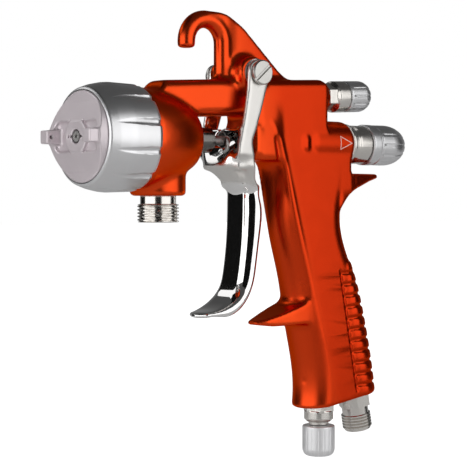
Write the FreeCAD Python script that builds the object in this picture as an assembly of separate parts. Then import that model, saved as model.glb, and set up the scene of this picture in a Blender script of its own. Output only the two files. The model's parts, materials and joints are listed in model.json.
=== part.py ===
import FreeCAD
import Part
import math
import os

# HVLP spray gun, millimetres. The origin is the centre of the hanging hook's inner arc, on the gun's
# mid-plane. The nozzle points along -X, +Z is up, and the gun is symmetric about the XZ plane.

V = FreeCAD.Vector
X_DIR = V(1, 0, 0)
Y_DIR = V(0, 1, 0)
Z_DIR = V(0, 0, 1)

# ---- fits ----------------------------------------------------------------------------------------
SEAT_FIT = 0.02          # radial gap of a screwed-in or pressed-in piece
SEAT_GAP = 0.02          # gap between two faces that are tightened on each other
RUNNING_FIT = 0.05       # radial gap of a turning or sliding piece
FACE_GAP = 0.3           # gap between two faces that move past each other
EDGE = 0.5               # usual chamfer on a turned piece
OVERRUN = 1.0            # how far a cutting tool runs past the face it starts from

# ---- sealing washers under the screwed-in fittings -----------------------------------------------
WASHER = 0.58
FITTING_FACE = 2 * SEAT_GAP + WASHER      # height of a fitting's shoulder above its seat

# ---- needle axis and head ------------------------------------------------------------------------
NEEDLE_Z = -40.0         # height of the needle axis
HEAD_FRONT_X = -50.0     # front face of the body's threaded head
RING_R = 21.5            # outside of the retaining ring
RING_WALL = 2.35         # over the body's threaded head
HEAD_R = RING_R - RING_WALL - RUNNING_FIT
BELL_FRONT_X = -36.8     # shoulder behind the retaining ring
BELL_STEP = 1.1          # how far the shoulder stands inside the ring
BELL_FRONT_R = RING_R - BELL_STEP
BELL_MID_X = -22.0
BELL_MID_R = 17.6
BELL_REAR_X = -9.6
BELL_REAR_R = 12.0
HEAD_WALL = 3.6          # round the air chamber in the head's front
AIR_CHAMBER_R = HEAD_R - HEAD_WALL
AIR_CHAMBER_DEPTH = 9.0
NOZZLE_BOSS_R = 9.0      # boss inside the chamber that the fluid nozzle screws into

# ---- fluid nozzle and air baffle -----------------------------------------------------------------
NOZZLE_THREAD_R = 5.0
NOZZLE_THREAD_LENGTH = 8.0
NOZZLE_BORE_R = 0.7      # 1.4 mm fluid tip
NOZZLE_BORE_LENGTH = 1.4
NOZZLE_TIP_X = -63.2
NOZZLE_TIP_R = 2.1
NOZZLE_TIP_LENGTH = 4.2
NOZZLE_CONE_X = -56.6
NOZZLE_CONE_R = 5.4
NOZZLE_FLANGE_X = -55.2
NOZZLE_FLANGE_R = 7.4
FLUID_BORE_R = 3.2       # fluid space round the needle
FLUID_BORE_FRONT_X = -53.6
BAFFLE_CLEARANCE = 1.1   # round the baffle, inside the air chamber
BAFFLE_R = AIR_CHAMBER_R - BAFFLE_CLEARANCE
BAFFLE_LENGTH = 2.2
BAFFLE_HOLES = 12
BAFFLE_HOLE_R = 1.2
BAFFLE_RIM = 3.25         # from the baffle's rim to the middle of its holes
BAFFLE_PITCH_R = BAFFLE_R - BAFFLE_RIM

# ---- needle and its packing ----------------------------------------------------------------------
NEEDLE_R = 2.0
NEEDLE_REAR_X = 89.0
NEEDLE_POINT_GAP = 0.4   # from the nozzle's tip to the needle's point
NEEDLE_POINT_R = 0.35
NEEDLE_SEAT_R = 0.6
NEEDLE_TAPER_END_X = -57.2
PACKING_R = 4.4
PACKING_LENGTH = 3.2
PACKING_DEPTH = 6.4
PACKING_NUT_BORE_R = 2.1
PACKING_NUT_FLANGE_R = 6.2
PACKING_NUT_FLANGE = 4.6
PACKING_NUT_R = 5.2
PACKING_NUT_LENGTH = 12.2
PACKING_NUT_SLOT = 1.4
PACKING_NUT_SLOT_DEPTH = 2.6

# ---- retaining ring and air cap ------------------------------------------------------------------
RING_FRONT_X = -60.6
RING_REAR_X = -36.9
RING_LIP = 3.5           # how far the front lip reaches in
RING_LIP_R = RING_R - RING_LIP
RING_LIP_LENGTH = 4.2
RING_FLUTES = 12
RING_FLUTE_PHASE = -10.0  # degrees
RING_FLUTE_DEPTH = 0.55
RING_FLUTE_R = 1.6
RING_FLUTE_LENGTH = 14.5
# Outer outline of the ring: distance behind its front face, and how far inside its largest radius.
RING_PROFILE = ((0.0, 3.0), (0.6, 2.2), (4.5, 1.0), (9.0, 0.1), (11.0, 0.0), (22.7, 0.4), (23.7, 1.0))
CAP_RIM_R = RING_LIP_R - 3 * RUNNING_FIT
CAP_EDGE_X = -61.2       # face at the top and bottom of the rim
CAP_RIDGE_X = -64.2      # face beside the horns, where the two slopes meet
CAP_SLOPE_HALF = 13.5    # height above the axis at which the slope ends
CAP_WALL = 2.6
CAP_SKIRT = 2.9
CAP_SKIRT_STEP = 1.2
CAP_FLANGE_R = HEAD_R - FACE_GAP
CAP_FLANGE = 2.6
CAP_REAR_X = -52.6
CAP_DISH = 1.2           # how much deeper the inside is at its centre
CAP_BOSS_R = 7.2
CAP_BOSS_X = -63.6
CAP_SLOT_X = -62.2       # floor of the slot that the centre boss and the horns stand in
CAP_SLOT_HALF_HEIGHT = 6.0
CAP_SLOT_HALF_LENGTH = 13.9
CAP_SLOT_CORNER_R = 2.5
CAP_CENTRE_HOLE_R = 2.7
JET_R = 0.42             # small auxiliary jets beside the centre hole
JET_Y = (3.4, 5.0)
HORN_INNER_Y = 11.7
HORN_OUTER_Y = 17.0
HORN_TIP_X = -68.6
HORN_HEIGHT = 5.3
HORN_FEED_R = 0.9        # air passage up the middle of a horn
HORN_JET_R = 0.65
HORN_JET_X = (-64.4, -66.6)
CLIP_WIRE = 1.0          # wire clip behind the cap's flange
CLIP_GAP = 0.2

# ---- upper arm, parallel to the fan valve axis, tilted up to the rear ----------------------------
ARM_TILT = 3.0           # degrees
ARM_Z = -23.0            # height of the fan axis above X = 0
ARM_HEIGHT = 14.6
ARM_WIDTH = 15.0
ARM_FRONT = -28.5        # along the fan axis
ARM_NOSE = 4.5           # slope on the arm's front end
ARM_REAR = 25.0
ARM_CORNER_R = 4.0
FAN_PASSAGE_R = 2.6
FAN_BOSS_R = 7.2
FAN_BOSS_START = 46.0    # along the fan axis
FAN_BOSS_END = 65.8
FAN_THREAD_R = 4.6
FAN_THREAD_LENGTH = 11.0

# ---- fluid inlet ---------------------------------------------------------------------------------
FLUID_INLET_X = -23.9
FLUID_BOSS_R = 11.1
FLUID_BOSS_Z = -62.8
FLUID_THREAD_R = 8.33    # G3/8 male thread
FLUID_THREAD_PITCH = 1.337
FLUID_THREAD_LENGTH = 7.4
FLUID_NECK_R = 7.2
FLUID_NECK_LENGTH = 3.2
FLUID_NIPPLE_BORE_R = 4.5
FLUID_ROOT_R = 6.5
FLUID_ROOT_LENGTH = 7.0

# ---- hook and web --------------------------------------------------------------------------------
HOOK_R = 9.5             # centre line of the hook
HOOK_ROD_R = 3.1
HOOK_DROP = 2.2          # straight end of the hook below its centre
WEB_THICKNESS = 5.2
WEB_TOP_Z = 12.0
WEB_CROWN = (11.9, 11.1)  # X, Z on the rounded top, between the hook and the knee
WEB_KNEE = (22.5, 4.8)   # X, Z where the web's rounded top becomes its straight back edge
WEB_FOOT_X = 43.3        # where the back edge meets the top of the body

# ---- trigger pivot -------------------------------------------------------------------------------
PIVOT_X = 18.4
PIVOT_Z = -12.2
PIVOT_BOSS_R = 7.0
TRIGGER_OUTER_HALF = 13.8
TRIGGER_ARM = 2.4        # thickness of each arm
TRIGGER_INNER_HALF = TRIGGER_OUTER_HALF - TRIGGER_ARM
PIVOT_SIDE_GAP = 0.9     # between the body's pivot boss and each arm
PIVOT_BOSS_HALF = TRIGGER_INNER_HALF - PIVOT_SIDE_GAP
PIVOT_PIN_R = 3.0
PIVOT_WASHER = 0.5
PIVOT_HEAD_R = 5.15
PIVOT_HEAD = 1.9
PIVOT_SCREW_R = 1.5
PIVOT_SCREW_LENGTH = 20.0
PIVOT_SLOT = 1.2
PIVOT_SLOT_DEPTH = 0.9
PIVOT_SLOT_DEG = 40.0

# ---- rear body -----------------------------------------------------------------------------------
BODY_HALF = 9.2          # half the width of the rear body
BODY_FRONT_X = 19.0      # face that the air valve gland sits in
BODY_REAR_X = 61.8       # rear face above the needle axis
BODY_REAR_SLOPE = 2.5    # chamfer at the top of that face
BODY_HEEL_X = 76.2       # rear face below the needle axis
BODY_HEEL_Z = -60.5
BODY_THROAT_X = 38.0     # front of the body above the handle
BODY_THROAT_FOOT_X = 44.0
VALVE_BOSS_BOTTOM_Z = -48.0
VALVE_BOSS_TOP_Z = -31.5
VALVE_BOSS_REAR_X = 33.0
VALVE_BOSS_HALF = 10.6
HOUSING_BOSS_END = 77.2
# Outline of the cylinder that holds the needle spring housing: X and radius.
HOUSING_BOSS_PROFILE = ((47.0, 0.0), (47.6, 5.5), (51.5, 9.2), (55.0, 10.0), (HOUSING_BOSS_END, 10.0))
# Side outline of the tail spur (X, Z), and its plan (X, half width).
SPUR_SIDE = ((70.0, -53.0), (98.3, -53.0), (99.5, -54.8), (92.0, -56.4), (81.0, -59.6), (76.2, -61.8),
             (72.3, -65.6), (70.0, -68.0))
SPUR_INSET = 1.0         # of the spur's side, below the housing boss's end
SPUR_PLAN = ((70.0, BODY_HALF), (80.0, BODY_HALF - SPUR_INSET), (98.5, 2.6), (99.5, 1.6))

# ---- air valve, round the needle -----------------------------------------------------------------
GLAND_R = 6.0
GLAND_LENGTH = 8.0
GLAND_SEAL = 1.4
VALVE_PASSAGE_R = 5.0
VALVE_SEAT_X = 33.0
VALVE_SEAT_LENGTH = 2.0
VALVE_SEAT_BORE_R = 4.6
CHAMBER_R = 7.5
STEM_R = 3.8
STEM_BORE_R = 2.5
STEM_HEAD_R = 5.2
STEM_HEAD_X = 11.35
STEM_HEAD_LENGTH = 1.25
STEM_REAR_X = 44.0
VALVE_FACE = 1.0         # soft ring between the valve disc and its seat
VALVE_DISC_R = 6.0
VALVE_DISC_X = VALVE_SEAT_X + VALVE_SEAT_LENGTH + RUNNING_FIT + VALVE_FACE + SEAT_GAP
VALVE_DISC_LENGTH = 2.6
COLLAR_R = 4.2
COLLAR_LENGTH = 4.0

# ---- trigger motion ------------------------------------------------------------------------------
VALVE_TRAVEL = 5.85      # along X, at the full pull of 10 degrees
NEEDLE_TRAVEL = 4.0
PULL_CLEARANCE = 0.15    # left between the stem and the needle's collar when they meet
COLLAR_X = STEM_REAR_X + VALVE_TRAVEL - NEEDLE_TRAVEL + PULL_CLEARANCE

# ---- needle spring housing and fluid knob --------------------------------------------------------
HOUSING_THREAD_LENGTH = 15.0
HOUSING_FLANGE_R = 9.1
HOUSING_NECK_R = 8.5
HOUSING_NECK_END = 89.9
HOUSING_SPIGOT_R = 6.5
HOUSING_SPIGOT_END = 100.0
HOUSING_BORE_R = 4.8
HOUSING_THROAT_R = 4.5
HOUSING_THROAT_LENGTH = 3.0
# Outline of the housing between its flange and its neck: distance from its shoulder, and radius.
HOUSING_NECK_PROFILE = ((0.0, HOUSING_FLANGE_R), (1.6, HOUSING_FLANGE_R), (2.4, 8.0), (4.2, 8.0),
                        (5.0, HOUSING_NECK_R))
STOP_R = 2.2
STOP_FLANGE = 2.6
STOP_TANG = 5.0
STOP_X = NEEDLE_REAR_X + NEEDLE_TRAVEL + FACE_GAP
FLUID_KNOB_R = 9.1
FLUID_KNOB_COLLAR = 5.0
FLUID_KNOB_END = 114.2
FLUID_KNOB_WALL_X = 103.0
FLUID_KNOB_NOSE = 11.0
FLUID_KNOB_NOSE_R = 2.5
FLUID_KNOB_GROOVE_R = 0.9
FLUID_KNOB_GROOVE_DEPTH = 0.35
KNOB_EDGE = 0.4
KNOB_GROOVES = 12
NOSE_STEPS = 6

# ---- fan valve -----------------------------------------------------------------------------------
FAN_HEX = 10.5
FAN_HEX_END = 71.0       # along the fan axis
FAN_COLLAR_R = 6.9
FAN_COLLAR_SLOPE = 1.2
FAN_COLLAR_END = 78.2
FAN_KNOB_R = 6.9
FAN_KNOB_END = 92.0
FAN_SPINDLE_FRONT = 46.0
FAN_SPINDLE_REAR = 88.0
FAN_PLUG_R = 2.2
FAN_PLUG_LENGTH = 5.0
FAN_PLUG_POINT_R = 0.8
SPINDLE_R = 2.0
SMALL_KNOB_NOSE = 4.6
SMALL_KNOB_FLAT = 3.2    # how much smaller the flat end is than the knob
SMALL_KNOB_GROOVE_START = 1.2
SMALL_KNOB_GROOVE_R = 0.8
SMALL_KNOB_GROOVE_DEPTH = 0.3

# ---- handle --------------------------------------------------------------------------------------
# Each row is the height, the front of the nose, the front edge of the flat side, the rear edge of the
# flat side, the back, and half the width.
HANDLE_SECTIONS = (
    (-46.0, 33.4, 35.4, 66.0, 74.0, 9.2),
    (-60.0, 36.8, 39.6, 67.0, 75.6, 9.3),
    (-72.0, 37.4, 42.4, 64.5, 73.4, 9.6),
    (-85.0, 40.3, 46.0, 66.5, 76.0, 10.0),
    (-100.0, 44.6, 50.4, 73.0, 82.4, 10.3),
    (-118.0, 48.0, 54.8, 78.0, 87.6, 10.8),
    (-136.0, 52.0, 59.4, 82.0, 91.6, 11.1),
    (-147.0, 53.2, 60.4, 83.6, 93.4, 11.3),
    (-158.0, 52.0, 60.0, 84.6, 94.4, 11.4),
)
FOOT_FRONT_Z = -153.9    # handle's lower end, at the flow valve
FOOT_SLOPE = 8.0         # degrees, rising to the rear
FOOT_SEAT_DEPTH = 1.0    # how far the fittings' seats are sunk into the foot
FOOT_SEAT_CUT = 4.0
PAD_COUNT = 12
PAD_PITCH = 5.0
PAD_HEIGHT = 3.5
PAD_RISE = 1.2           # how much higher a pad is at its rear end
PAD_TOP_Z = -92.0
PAD_PROUD = 0.8
PAD_SIDE_PROUD = 0.5
PAD_FRONT_TOP_X = 72.8   # front end of the highest and of the lowest pad
PAD_FRONT_BOTTOM_X = 82.3
PAD_REACH = 24.0
# Side outline of the finger rest (X, Z), and its plan (X, half width).
REST_SIDE = ((50.0, -108.6), (44.0, -110.3), (38.0, -112.4), (31.0, -114.6), (25.8, -115.8),
             (24.3, -116.3), (25.9, -117.4), (33.0, -118.2), (50.0, -117.8))
REST_PLAN = ((50.0, 9.6), (42.0, 8.8), (36.0, 7.6), (30.0, 5.6), (25.3, 3.0), (24.3, 1.6))

# ---- flow valve and air inlet at the handle's foot -----------------------------------------------
FLOW_X = 64.4
FLOW_BORE_R = 5.0
FLOW_BORE_LENGTH = 14.0
FLOW_ROOT_LENGTH = 7.0
FLOW_HEX = 12.0
FLOW_HEX_END = 4.6       # below the seat
FLOW_COLLAR_R = 6.4
FLOW_COLLAR_SLOPE = 1.2
FLOW_COLLAR_END = 9.0
FLOW_NECK_R = 4.4
FLOW_NECK_END = 10.4
FLOW_KNOB_R = 7.15
FLOW_KNOB_LENGTH = 13.4
FLOW_KNOB_GROOVES = 24
FLOW_KNOB_START = FLOW_NECK_END + FACE_GAP
FLOW_KNOB_WALL = 4.0
FLOW_SPINDLE_END = FLOW_KNOB_START + FLOW_KNOB_LENGTH - FLOW_KNOB_WALL
FLOW_PLUG_R = 3.0
FLOW_PLUG_LENGTH = 2.6
FLOW_PLUG_POINT_R = 1.4
MAIN_PASSAGE_R = 3.2
RISER_STUB = 6.0         # straight start of the passage up the handle
RISER_TOP_X = 52.0       # where that passage meets the needle axis
FAN_RISER_X = 29.6       # passage from the air valve up to the fan passage
FEED_R = 2.4             # passage from the air inlet to the flow valve
FEED_DEPTH = 10.0        # above the air inlet's seat
FEED_DEPTH_AT_FLOW = 12.0  # above the flow valve's seat
AIR_INLET_X = 85.2
AIR_INLET_TILT = 11.0    # degrees, lower end to the rear
AIR_THREAD_R = 6.58      # G1/4 male thread
AIR_THREAD_PITCH = 1.337
AIR_THREAD_LENGTH = 7.5
AIR_HEX = 12.4
AIR_HEX_LENGTH = 6.6
AIR_NECK_LENGTH = 3.2
AIR_BORE_R = 3.6
AIR_ROOT_R = 5.0
AIR_ROOT_LENGTH = 8.0
THREAD_DEPTH = 0.7
THREAD_END = 0.3         # chamfer at a thread's open end
THREAD_FLANK = 0.25      # a thread's flank and its crest, as shares of the pitch
THREAD_CREST = 0.4

# ---- trigger -------------------------------------------------------------------------------------
TRIGGER_EYE_R = 5.8
TRIGGER_WEB_X = 11.0     # rear face of the trigger's cross web
TRIGGER_WEB = 2.5
TRIGGER_WEB_TOP_Z = -35.0
TRIGGER_WEB_BOTTOM_Z = -52.0
NEEDLE_HOLE_R = 3.6
SADDLE_WALL = 2.2
# Side outline of the two arms (X, Z), from the front of the eye round to its rear.
TRIGGER_ARM_SIDE = ((PIVOT_X - TRIGGER_EYE_R, PIVOT_Z), (12.2, -18.9), (10.6, -28.0), (9.0, -36.0),
                    (7.4, -42.0), (7.0, -46.0), (15.4, -46.0), (14.6, -41.0), (16.9, -35.8),
                    (19.8, -27.5), (22.6, -18.3), (PIVOT_X + TRIGGER_EYE_R, PIVOT_Z))
# Half-round sections of the saddle that joins the arms to the finger bar: Z, front X, rear X, and how far
# inside the arms' outer faces its side lies.
SADDLE_OUTSIDE = ((-41.0, 3.0, 14.9, 0.0), (-50.8, 3.2, 17.0, 0.5), (-52.6, 6.8, 17.8, 1.0),
                  (-54.6, 10.0, 18.6, 1.8), (-57.4, 13.0, 20.0, 3.0), (-60.8, 15.8, 22.0, 5.0))
SADDLE_INSIDE = ((-40.0, 3.0, 16.9, 0.0), (-50.0, 3.2, 19.0, 0.5), (-52.0, 7.2, 20.0, 1.0),
                 (-54.0, 10.8, 20.8, 1.8), (-57.0, 14.0, 22.4, 3.0))
# Everything of the saddle in front of and above this outline is open.
SADDLE_MOUTH = ((-20.0, -30.0), (13.0, -30.0), (3.0, -51.2), (-20.0, -51.2))
# Sections of the finger bar: X, Z, turn in degrees, half depth, half width.
BAR_SECTIONS = ((20.9, -58.0, 0.0, 3.6, 8.6), (20.6, -66.0, 0.0, 3.9, 8.8), (19.9, -81.0, -4.0, 3.8, 8.6),
                (18.4, -92.0, -10.0, 3.6, 8.4), (15.9, -101.5, -24.0, 3.3, 8.4),
                (11.0, -107.8, -56.0, 2.8, 8.2), (4.0, -110.8, -78.0, 1.9, 7.4),
                (-3.4, -111.8, -86.0, 0.9, 5.0))
BAR_ROUNDNESS = 0.72     # corner radius of a section, as a share of its half depth

# ---- springs -------------------------------------------------------------------------------------
VALVE_SPRING_R = 5.4
VALVE_SPRING_WIRE = 1.0
VALVE_SPRING_TURNS = 7
NEEDLE_SPRING_R = 3.4
NEEDLE_SPRING_WIRE = 0.8
NEEDLE_SPRING_TURNS = 11
SPRING_END_GAP = 0.1
SPRING_STEPS = 12            # straight lengths in one turn
SPRING_MITRE = 1             # the sweep's square-corner setting

# ---- axes ----------------------------------------------------------------------------------------
# Turned pieces are drawn along +X from 0 and set on one of these axes.
NEEDLE_AXIS = FreeCAD.Placement(V(0, 0, NEEDLE_Z), FreeCAD.Rotation(Y_DIR, 0))
FAN_AXIS = FreeCAD.Placement(V(0, 0, ARM_Z), FreeCAD.Rotation(Y_DIR, -ARM_TILT))
FLUID_AXIS = FreeCAD.Placement(V(FLUID_INLET_X, 0, FLUID_BOSS_Z), FreeCAD.Rotation(Y_DIR, 90))
PIVOT_AXIS = FreeCAD.Placement(V(PIVOT_X, 0, PIVOT_Z), FreeCAD.Rotation(Z_DIR, -90))


def foot_z(x):
    """Height of the handle's sloping foot at a distance along X."""
    return FOOT_FRONT_Z + (x - FLOW_X) * math.tan(math.radians(FOOT_SLOPE))


FLOW_SEAT_Z = foot_z(FLOW_X) + FOOT_SEAT_DEPTH
AIR_SEAT_Z = foot_z(AIR_INLET_X) + FOOT_SEAT_DEPTH
FLOW_AXIS = FreeCAD.Placement(V(FLOW_X, 0, FLOW_SEAT_Z), FreeCAD.Rotation(Y_DIR, 90))
AIR_AXIS = FreeCAD.Placement(V(AIR_INLET_X, 0, AIR_SEAT_Z), FreeCAD.Rotation(Y_DIR, 90 - AIR_INLET_TILT))


# ---- shape helpers -------------------------------------------------------------------------------
def turned(outline, axis):
    """Solid of revolution from (distance along the axis, radius) points, set on an axis."""
    points = [V(along, radius, 0) for along, radius in outline]
    face = Part.Face(Part.makePolygon(points + points[:1]))
    solid = face.revolve(V(0, 0, 0), X_DIR, 360)
    solid.Placement = axis
    return solid


def rod(start, end, radius, axis):
    solid = Part.makeCylinder(radius, end - start, V(start, 0, 0), X_DIR)
    solid.Placement = axis
    return solid


def tube(start, end, outer, inner, axis):
    return turned([(start, inner), (start, outer), (end, outer), (end, inner)], axis)


def sealing_washer(seat, outer, inner, axis):
    """Flat washer on a seat, under a fitting's shoulder."""
    return tube(seat + SEAT_GAP, seat + SEAT_GAP + WASHER, outer, inner, axis)


def hexagon_corner(across_flats):
    return across_flats / 2 / math.cos(math.radians(30))


def hexagon(across_flats, start, end, bore, axis):
    """Hexagonal prism with a bore, one corner up."""
    corner = hexagon_corner(across_flats)
    points = []
    for step in range(6):
        angle = math.radians(60 * step)
        points.append(V(start, corner * math.sin(angle), corner * math.cos(angle)))
    solid = Part.Face(Part.makePolygon(points + points[:1])).extrude(V(end - start, 0, 0))
    solid.Placement = axis
    return solid.cut(rod(start - OVERRUN, end + OVERRUN, bore, axis))


def slab(outline, half_width):
    """Plate drawn by (X, Z) points on the mid-plane, as thick as twice the half width."""
    points = [V(x, -half_width, z) for x, z in outline]
    return Part.Face(Part.makePolygon(points + points[:1])).extrude(V(0, 2 * half_width, 0))


def plan_prism(edge, bottom, top):
    """Upright prism, the same on both sides of the mid-plane, drawn by (X, half width) points."""
    points = [V(x, half, bottom) for x, half in edge]
    points += [V(x, -half, bottom) for x, half in reversed(edge)]
    return Part.Face(Part.makePolygon(points + points[:1])).extrude(V(0, 0, top - bottom))


def box(low, high):
    size = V(*high).sub(V(*low))
    return Part.makeBox(size.x, size.y, size.z, V(*low))


def cross_cylinder(x, z, radius, half_width):
    """Cylinder along Y, centred on the mid-plane."""
    return Part.makeCylinder(radius, 2 * half_width, V(x, -half_width, z), Y_DIR)


def rounded_rectangle(x, half_width, bottom, top, radius):
    """Wire across the X axis with four round corners."""
    middle_z = (bottom + top) / 2
    half_height = (top - bottom) / 2
    arcs = []
    for index, (side, up) in enumerate(((1, 1), (-1, 1), (-1, -1), (1, -1))):
        centre = V(x, side * (half_width - radius), middle_z + up * (half_height - radius))
        first = centre.add(V(0, side * radius, 0))
        last = centre.add(V(0, 0, up * radius))
        bend = centre.add(V(0, side * radius, up * radius).multiply(math.sqrt(0.5)))
        if index % 2:
            first, last = last, first
        arcs.append((first, bend, last))
    edges = []
    for index, (first, bend, last) in enumerate(arcs):
        edges.append(Part.Arc(first, bend, last).toShape())
        edges.append(Part.makeLine(last, arcs[(index + 1) % 4][0]))
    return Part.Wire(edges)


def male_thread(start, length, radius, pitch, bore, axis):
    """Threaded stretch as ring-shaped crests with flat lands, a chamfered end and a bore."""
    root = radius - THREAD_DEPTH
    outline = [(start, bore), (start, root)]
    for turn in range(int(length / pitch)):
        crest = start + (turn + THREAD_FLANK) * pitch
        outline.append((crest, radius))
        outline.append((crest + THREAD_CREST * pitch, radius))
        outline.append((crest + (THREAD_CREST + THREAD_FLANK) * pitch, root))
    end = start + length
    outline.append((end - THREAD_END, root))
    outline.append((end, root - THREAD_END))
    outline.append((end, bore))
    return turned(outline, axis)


def spring(start, end, radius, wire, turns):
    """Coil spring on the needle axis, bent from short straight lengths."""
    steps = round(turns * SPRING_STEPS)
    length = end - start - wire
    corners = []
    for step in range(steps + 1):
        angle = 2 * math.pi * step / SPRING_STEPS
        corners.append(V(start + wire / 2 + length * step / steps, radius * math.cos(angle),
                         NEEDLE_Z + radius * math.sin(angle)))
    section = Part.Wire(Part.makeCircle(wire / 2, corners[0], corners[1] - corners[0]))
    return Part.makePolygon(corners).makePipeShell([section], True, False, SPRING_MITRE)


def fused(shapes):
    whole = shapes[0]
    for shape in shapes[1:]:
        whole = whole.fuse(shape)
    return whole.removeSplitter()


def cut(shape, tools):
    for tool in tools:
        shape = shape.cut(tool)
    return shape


# ---- gun body ------------------------------------------------------------------------------------
def arm_top(x):
    """Height of the arm's upper surface at a distance along X."""
    return ARM_Z + x * math.tan(math.radians(ARM_TILT)) + ARM_HEIGHT / 2


def bell():
    front = V(BELL_FRONT_X, BELL_FRONT_R, 0)
    middle = V(BELL_MID_X, BELL_MID_R, 0)
    rear = V(BELL_REAR_X, BELL_REAR_R, 0)
    corners = [rear, V(BELL_REAR_X, 0, 0), V(HEAD_FRONT_X, 0, 0), V(HEAD_FRONT_X, HEAD_R, 0),
               V(BELL_FRONT_X, HEAD_R, 0), front]
    edges = [Part.Arc(front, middle, rear).toShape()]
    for start, end in zip(corners, corners[1:]):
        edges.append(Part.makeLine(start, end))
    solid = Part.Face(Part.Wire(edges)).revolve(V(0, 0, 0), X_DIR, 360)
    solid.Placement = NEEDLE_AXIS
    return solid


def hook():
    """Pieces of the round hook: its arc, its open end and its stem."""
    reach = HOOK_R + HOOK_ROD_R + OVERRUN
    arc = Part.makeTorus(HOOK_R, HOOK_ROD_R, V(0, 0, 0), Y_DIR)
    arc = arc.common(box((-reach, -reach, 0), (reach, reach, reach)))
    end = Part.makeCylinder(HOOK_ROD_R, HOOK_DROP, V(-HOOK_R, 0, -HOOK_DROP), Z_DIR)
    stem_foot = arm_top(HOOK_R) - HOOK_ROD_R
    stem = Part.makeCylinder(HOOK_ROD_R, -stem_foot, V(HOOK_R, 0, stem_foot), Z_DIR)
    return [arc, end, stem]


def hook_web():
    half = WEB_THICKNESS / 2
    start = V(0, -half, WEB_TOP_Z)
    crown = V(WEB_CROWN[0], -half, WEB_CROWN[1])
    knee = V(WEB_KNEE[0], -half, WEB_KNEE[1])
    corners = [knee, V(WEB_FOOT_X, -half, arm_top(WEB_FOOT_X)), V(WEB_FOOT_X, -half, ARM_Z),
               V(HOOK_R, -half, ARM_Z), V(HOOK_R, -half, HOOK_R), start]
    edges = [Part.Arc(start, crown, knee).toShape()]
    for first, last in zip(corners, corners[1:]):
        edges.append(Part.makeLine(first, last))
    return Part.Face(Part.Wire(edges)).extrude(V(0, WEB_THICKNESS, 0))


def arm():
    wire = rounded_rectangle(ARM_FRONT, ARM_WIDTH / 2, -ARM_HEIGHT / 2, ARM_HEIGHT / 2, ARM_CORNER_R)
    bar = Part.Face(wire).extrude(V(ARM_REAR - ARM_FRONT, 0, 0))
    top = ARM_HEIGHT / 2
    slope_end = ARM_FRONT + ARM_NOSE
    clear = ARM_FRONT - OVERRUN
    nose = slab([(ARM_FRONT, top - ARM_NOSE), (slope_end, top), (slope_end, top + OVERRUN),
                 (clear, top + OVERRUN), (clear, top - ARM_NOSE)], ARM_WIDTH)
    bar = bar.cut(nose)
    bar.Placement = FAN_AXIS
    return bar


def rear_body():
    rear_top = arm_top(BODY_REAR_X)
    outline = [(BODY_FRONT_X, arm_top(BODY_FRONT_X)), (BODY_REAR_X - BODY_REAR_SLOPE, rear_top),
               (BODY_REAR_X, rear_top - BODY_REAR_SLOPE), (BODY_REAR_X, NEEDLE_Z), (BODY_HEEL_X, NEEDLE_Z),
               (BODY_HEEL_X, BODY_HEEL_Z), (BODY_THROAT_FOOT_X, BODY_HEEL_Z),
               (BODY_THROAT_X, VALVE_BOSS_BOTTOM_Z), (BODY_FRONT_X, VALVE_BOSS_BOTTOM_Z)]
    plate = slab(outline, BODY_HALF)
    wire = rounded_rectangle(0, BODY_HALF, 2 * BODY_HEEL_Z, ARM_HEIGHT / 2, ARM_CORNER_R)
    rounded = Part.Face(wire).extrude(V(2 * BODY_REAR_X, 0, 0))
    rounded.Placement = FAN_AXIS
    return plate.common(rounded)


def valve_boss():
    wire = rounded_rectangle(BODY_FRONT_X, VALVE_BOSS_HALF, VALVE_BOSS_BOTTOM_Z, VALVE_BOSS_TOP_Z,
                             ARM_CORNER_R)
    return Part.Face(wire).extrude(V(VALVE_BOSS_REAR_X - BODY_FRONT_X, 0, 0))


def handle_section(section, back_growth, side_growth):
    z, nose, flat_front, flat_rear, back, half = section
    half = half + side_growth
    front_low, front_high = V(flat_front, -half, z), V(flat_front, half, z)
    rear_low, rear_high = V(flat_rear, -half, z), V(flat_rear, half, z)
    return Part.Wire([Part.Arc(front_high, V(nose, 0, z), front_low).toShape(),
                      Part.makeLine(front_low, rear_low),
                      Part.Arc(rear_low, V(back + back_growth, 0, z), rear_high).toShape(),
                      Part.makeLine(rear_high, front_high)])


def handle_loft(back_growth, side_growth):
    sections = [handle_section(section, back_growth, side_growth) for section in HANDLE_SECTIONS]
    return Part.makeLoft(sections, True, False)


def below_foot():
    """Everything below the handle's sloping foot."""
    front, rear, depth = 0, 2 * FLOW_X, 2 * FOOT_FRONT_Z
    return slab([(front, foot_z(front)), (rear, foot_z(rear)), (rear, depth), (front, depth)], 2 * BODY_HALF)


def grip_pads():
    """Raised pads round the handle's back."""
    grown = handle_loft(PAD_PROUD, PAD_SIDE_PROUD)
    pads = []
    for index in range(PAD_COUNT):
        top = PAD_TOP_Z - index * PAD_PITCH
        share = index / (PAD_COUNT - 1)
        front_x = PAD_FRONT_TOP_X + share * (PAD_FRONT_BOTTOM_X - PAD_FRONT_TOP_X)
        rear_x = front_x + PAD_REACH
        rear_top = top + PAD_RISE
        band = slab([(front_x, top), (rear_x, rear_top), (rear_x, rear_top - PAD_HEIGHT),
                     (front_x, top - PAD_HEIGHT)], 2 * BODY_HALF)
        pads.append(grown.common(band))
    return pads


def blade(side_outline, plan):
    """Solid with a side outline in XZ and a plan in XY, the same on both sides of the mid-plane."""
    heights = [z for x, z in side_outline]
    side = slab(side_outline, 2 * BODY_HALF)
    return side.common(plan_prism(plan, min(heights) - OVERRUN, max(heights) + OVERRUN))


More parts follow.
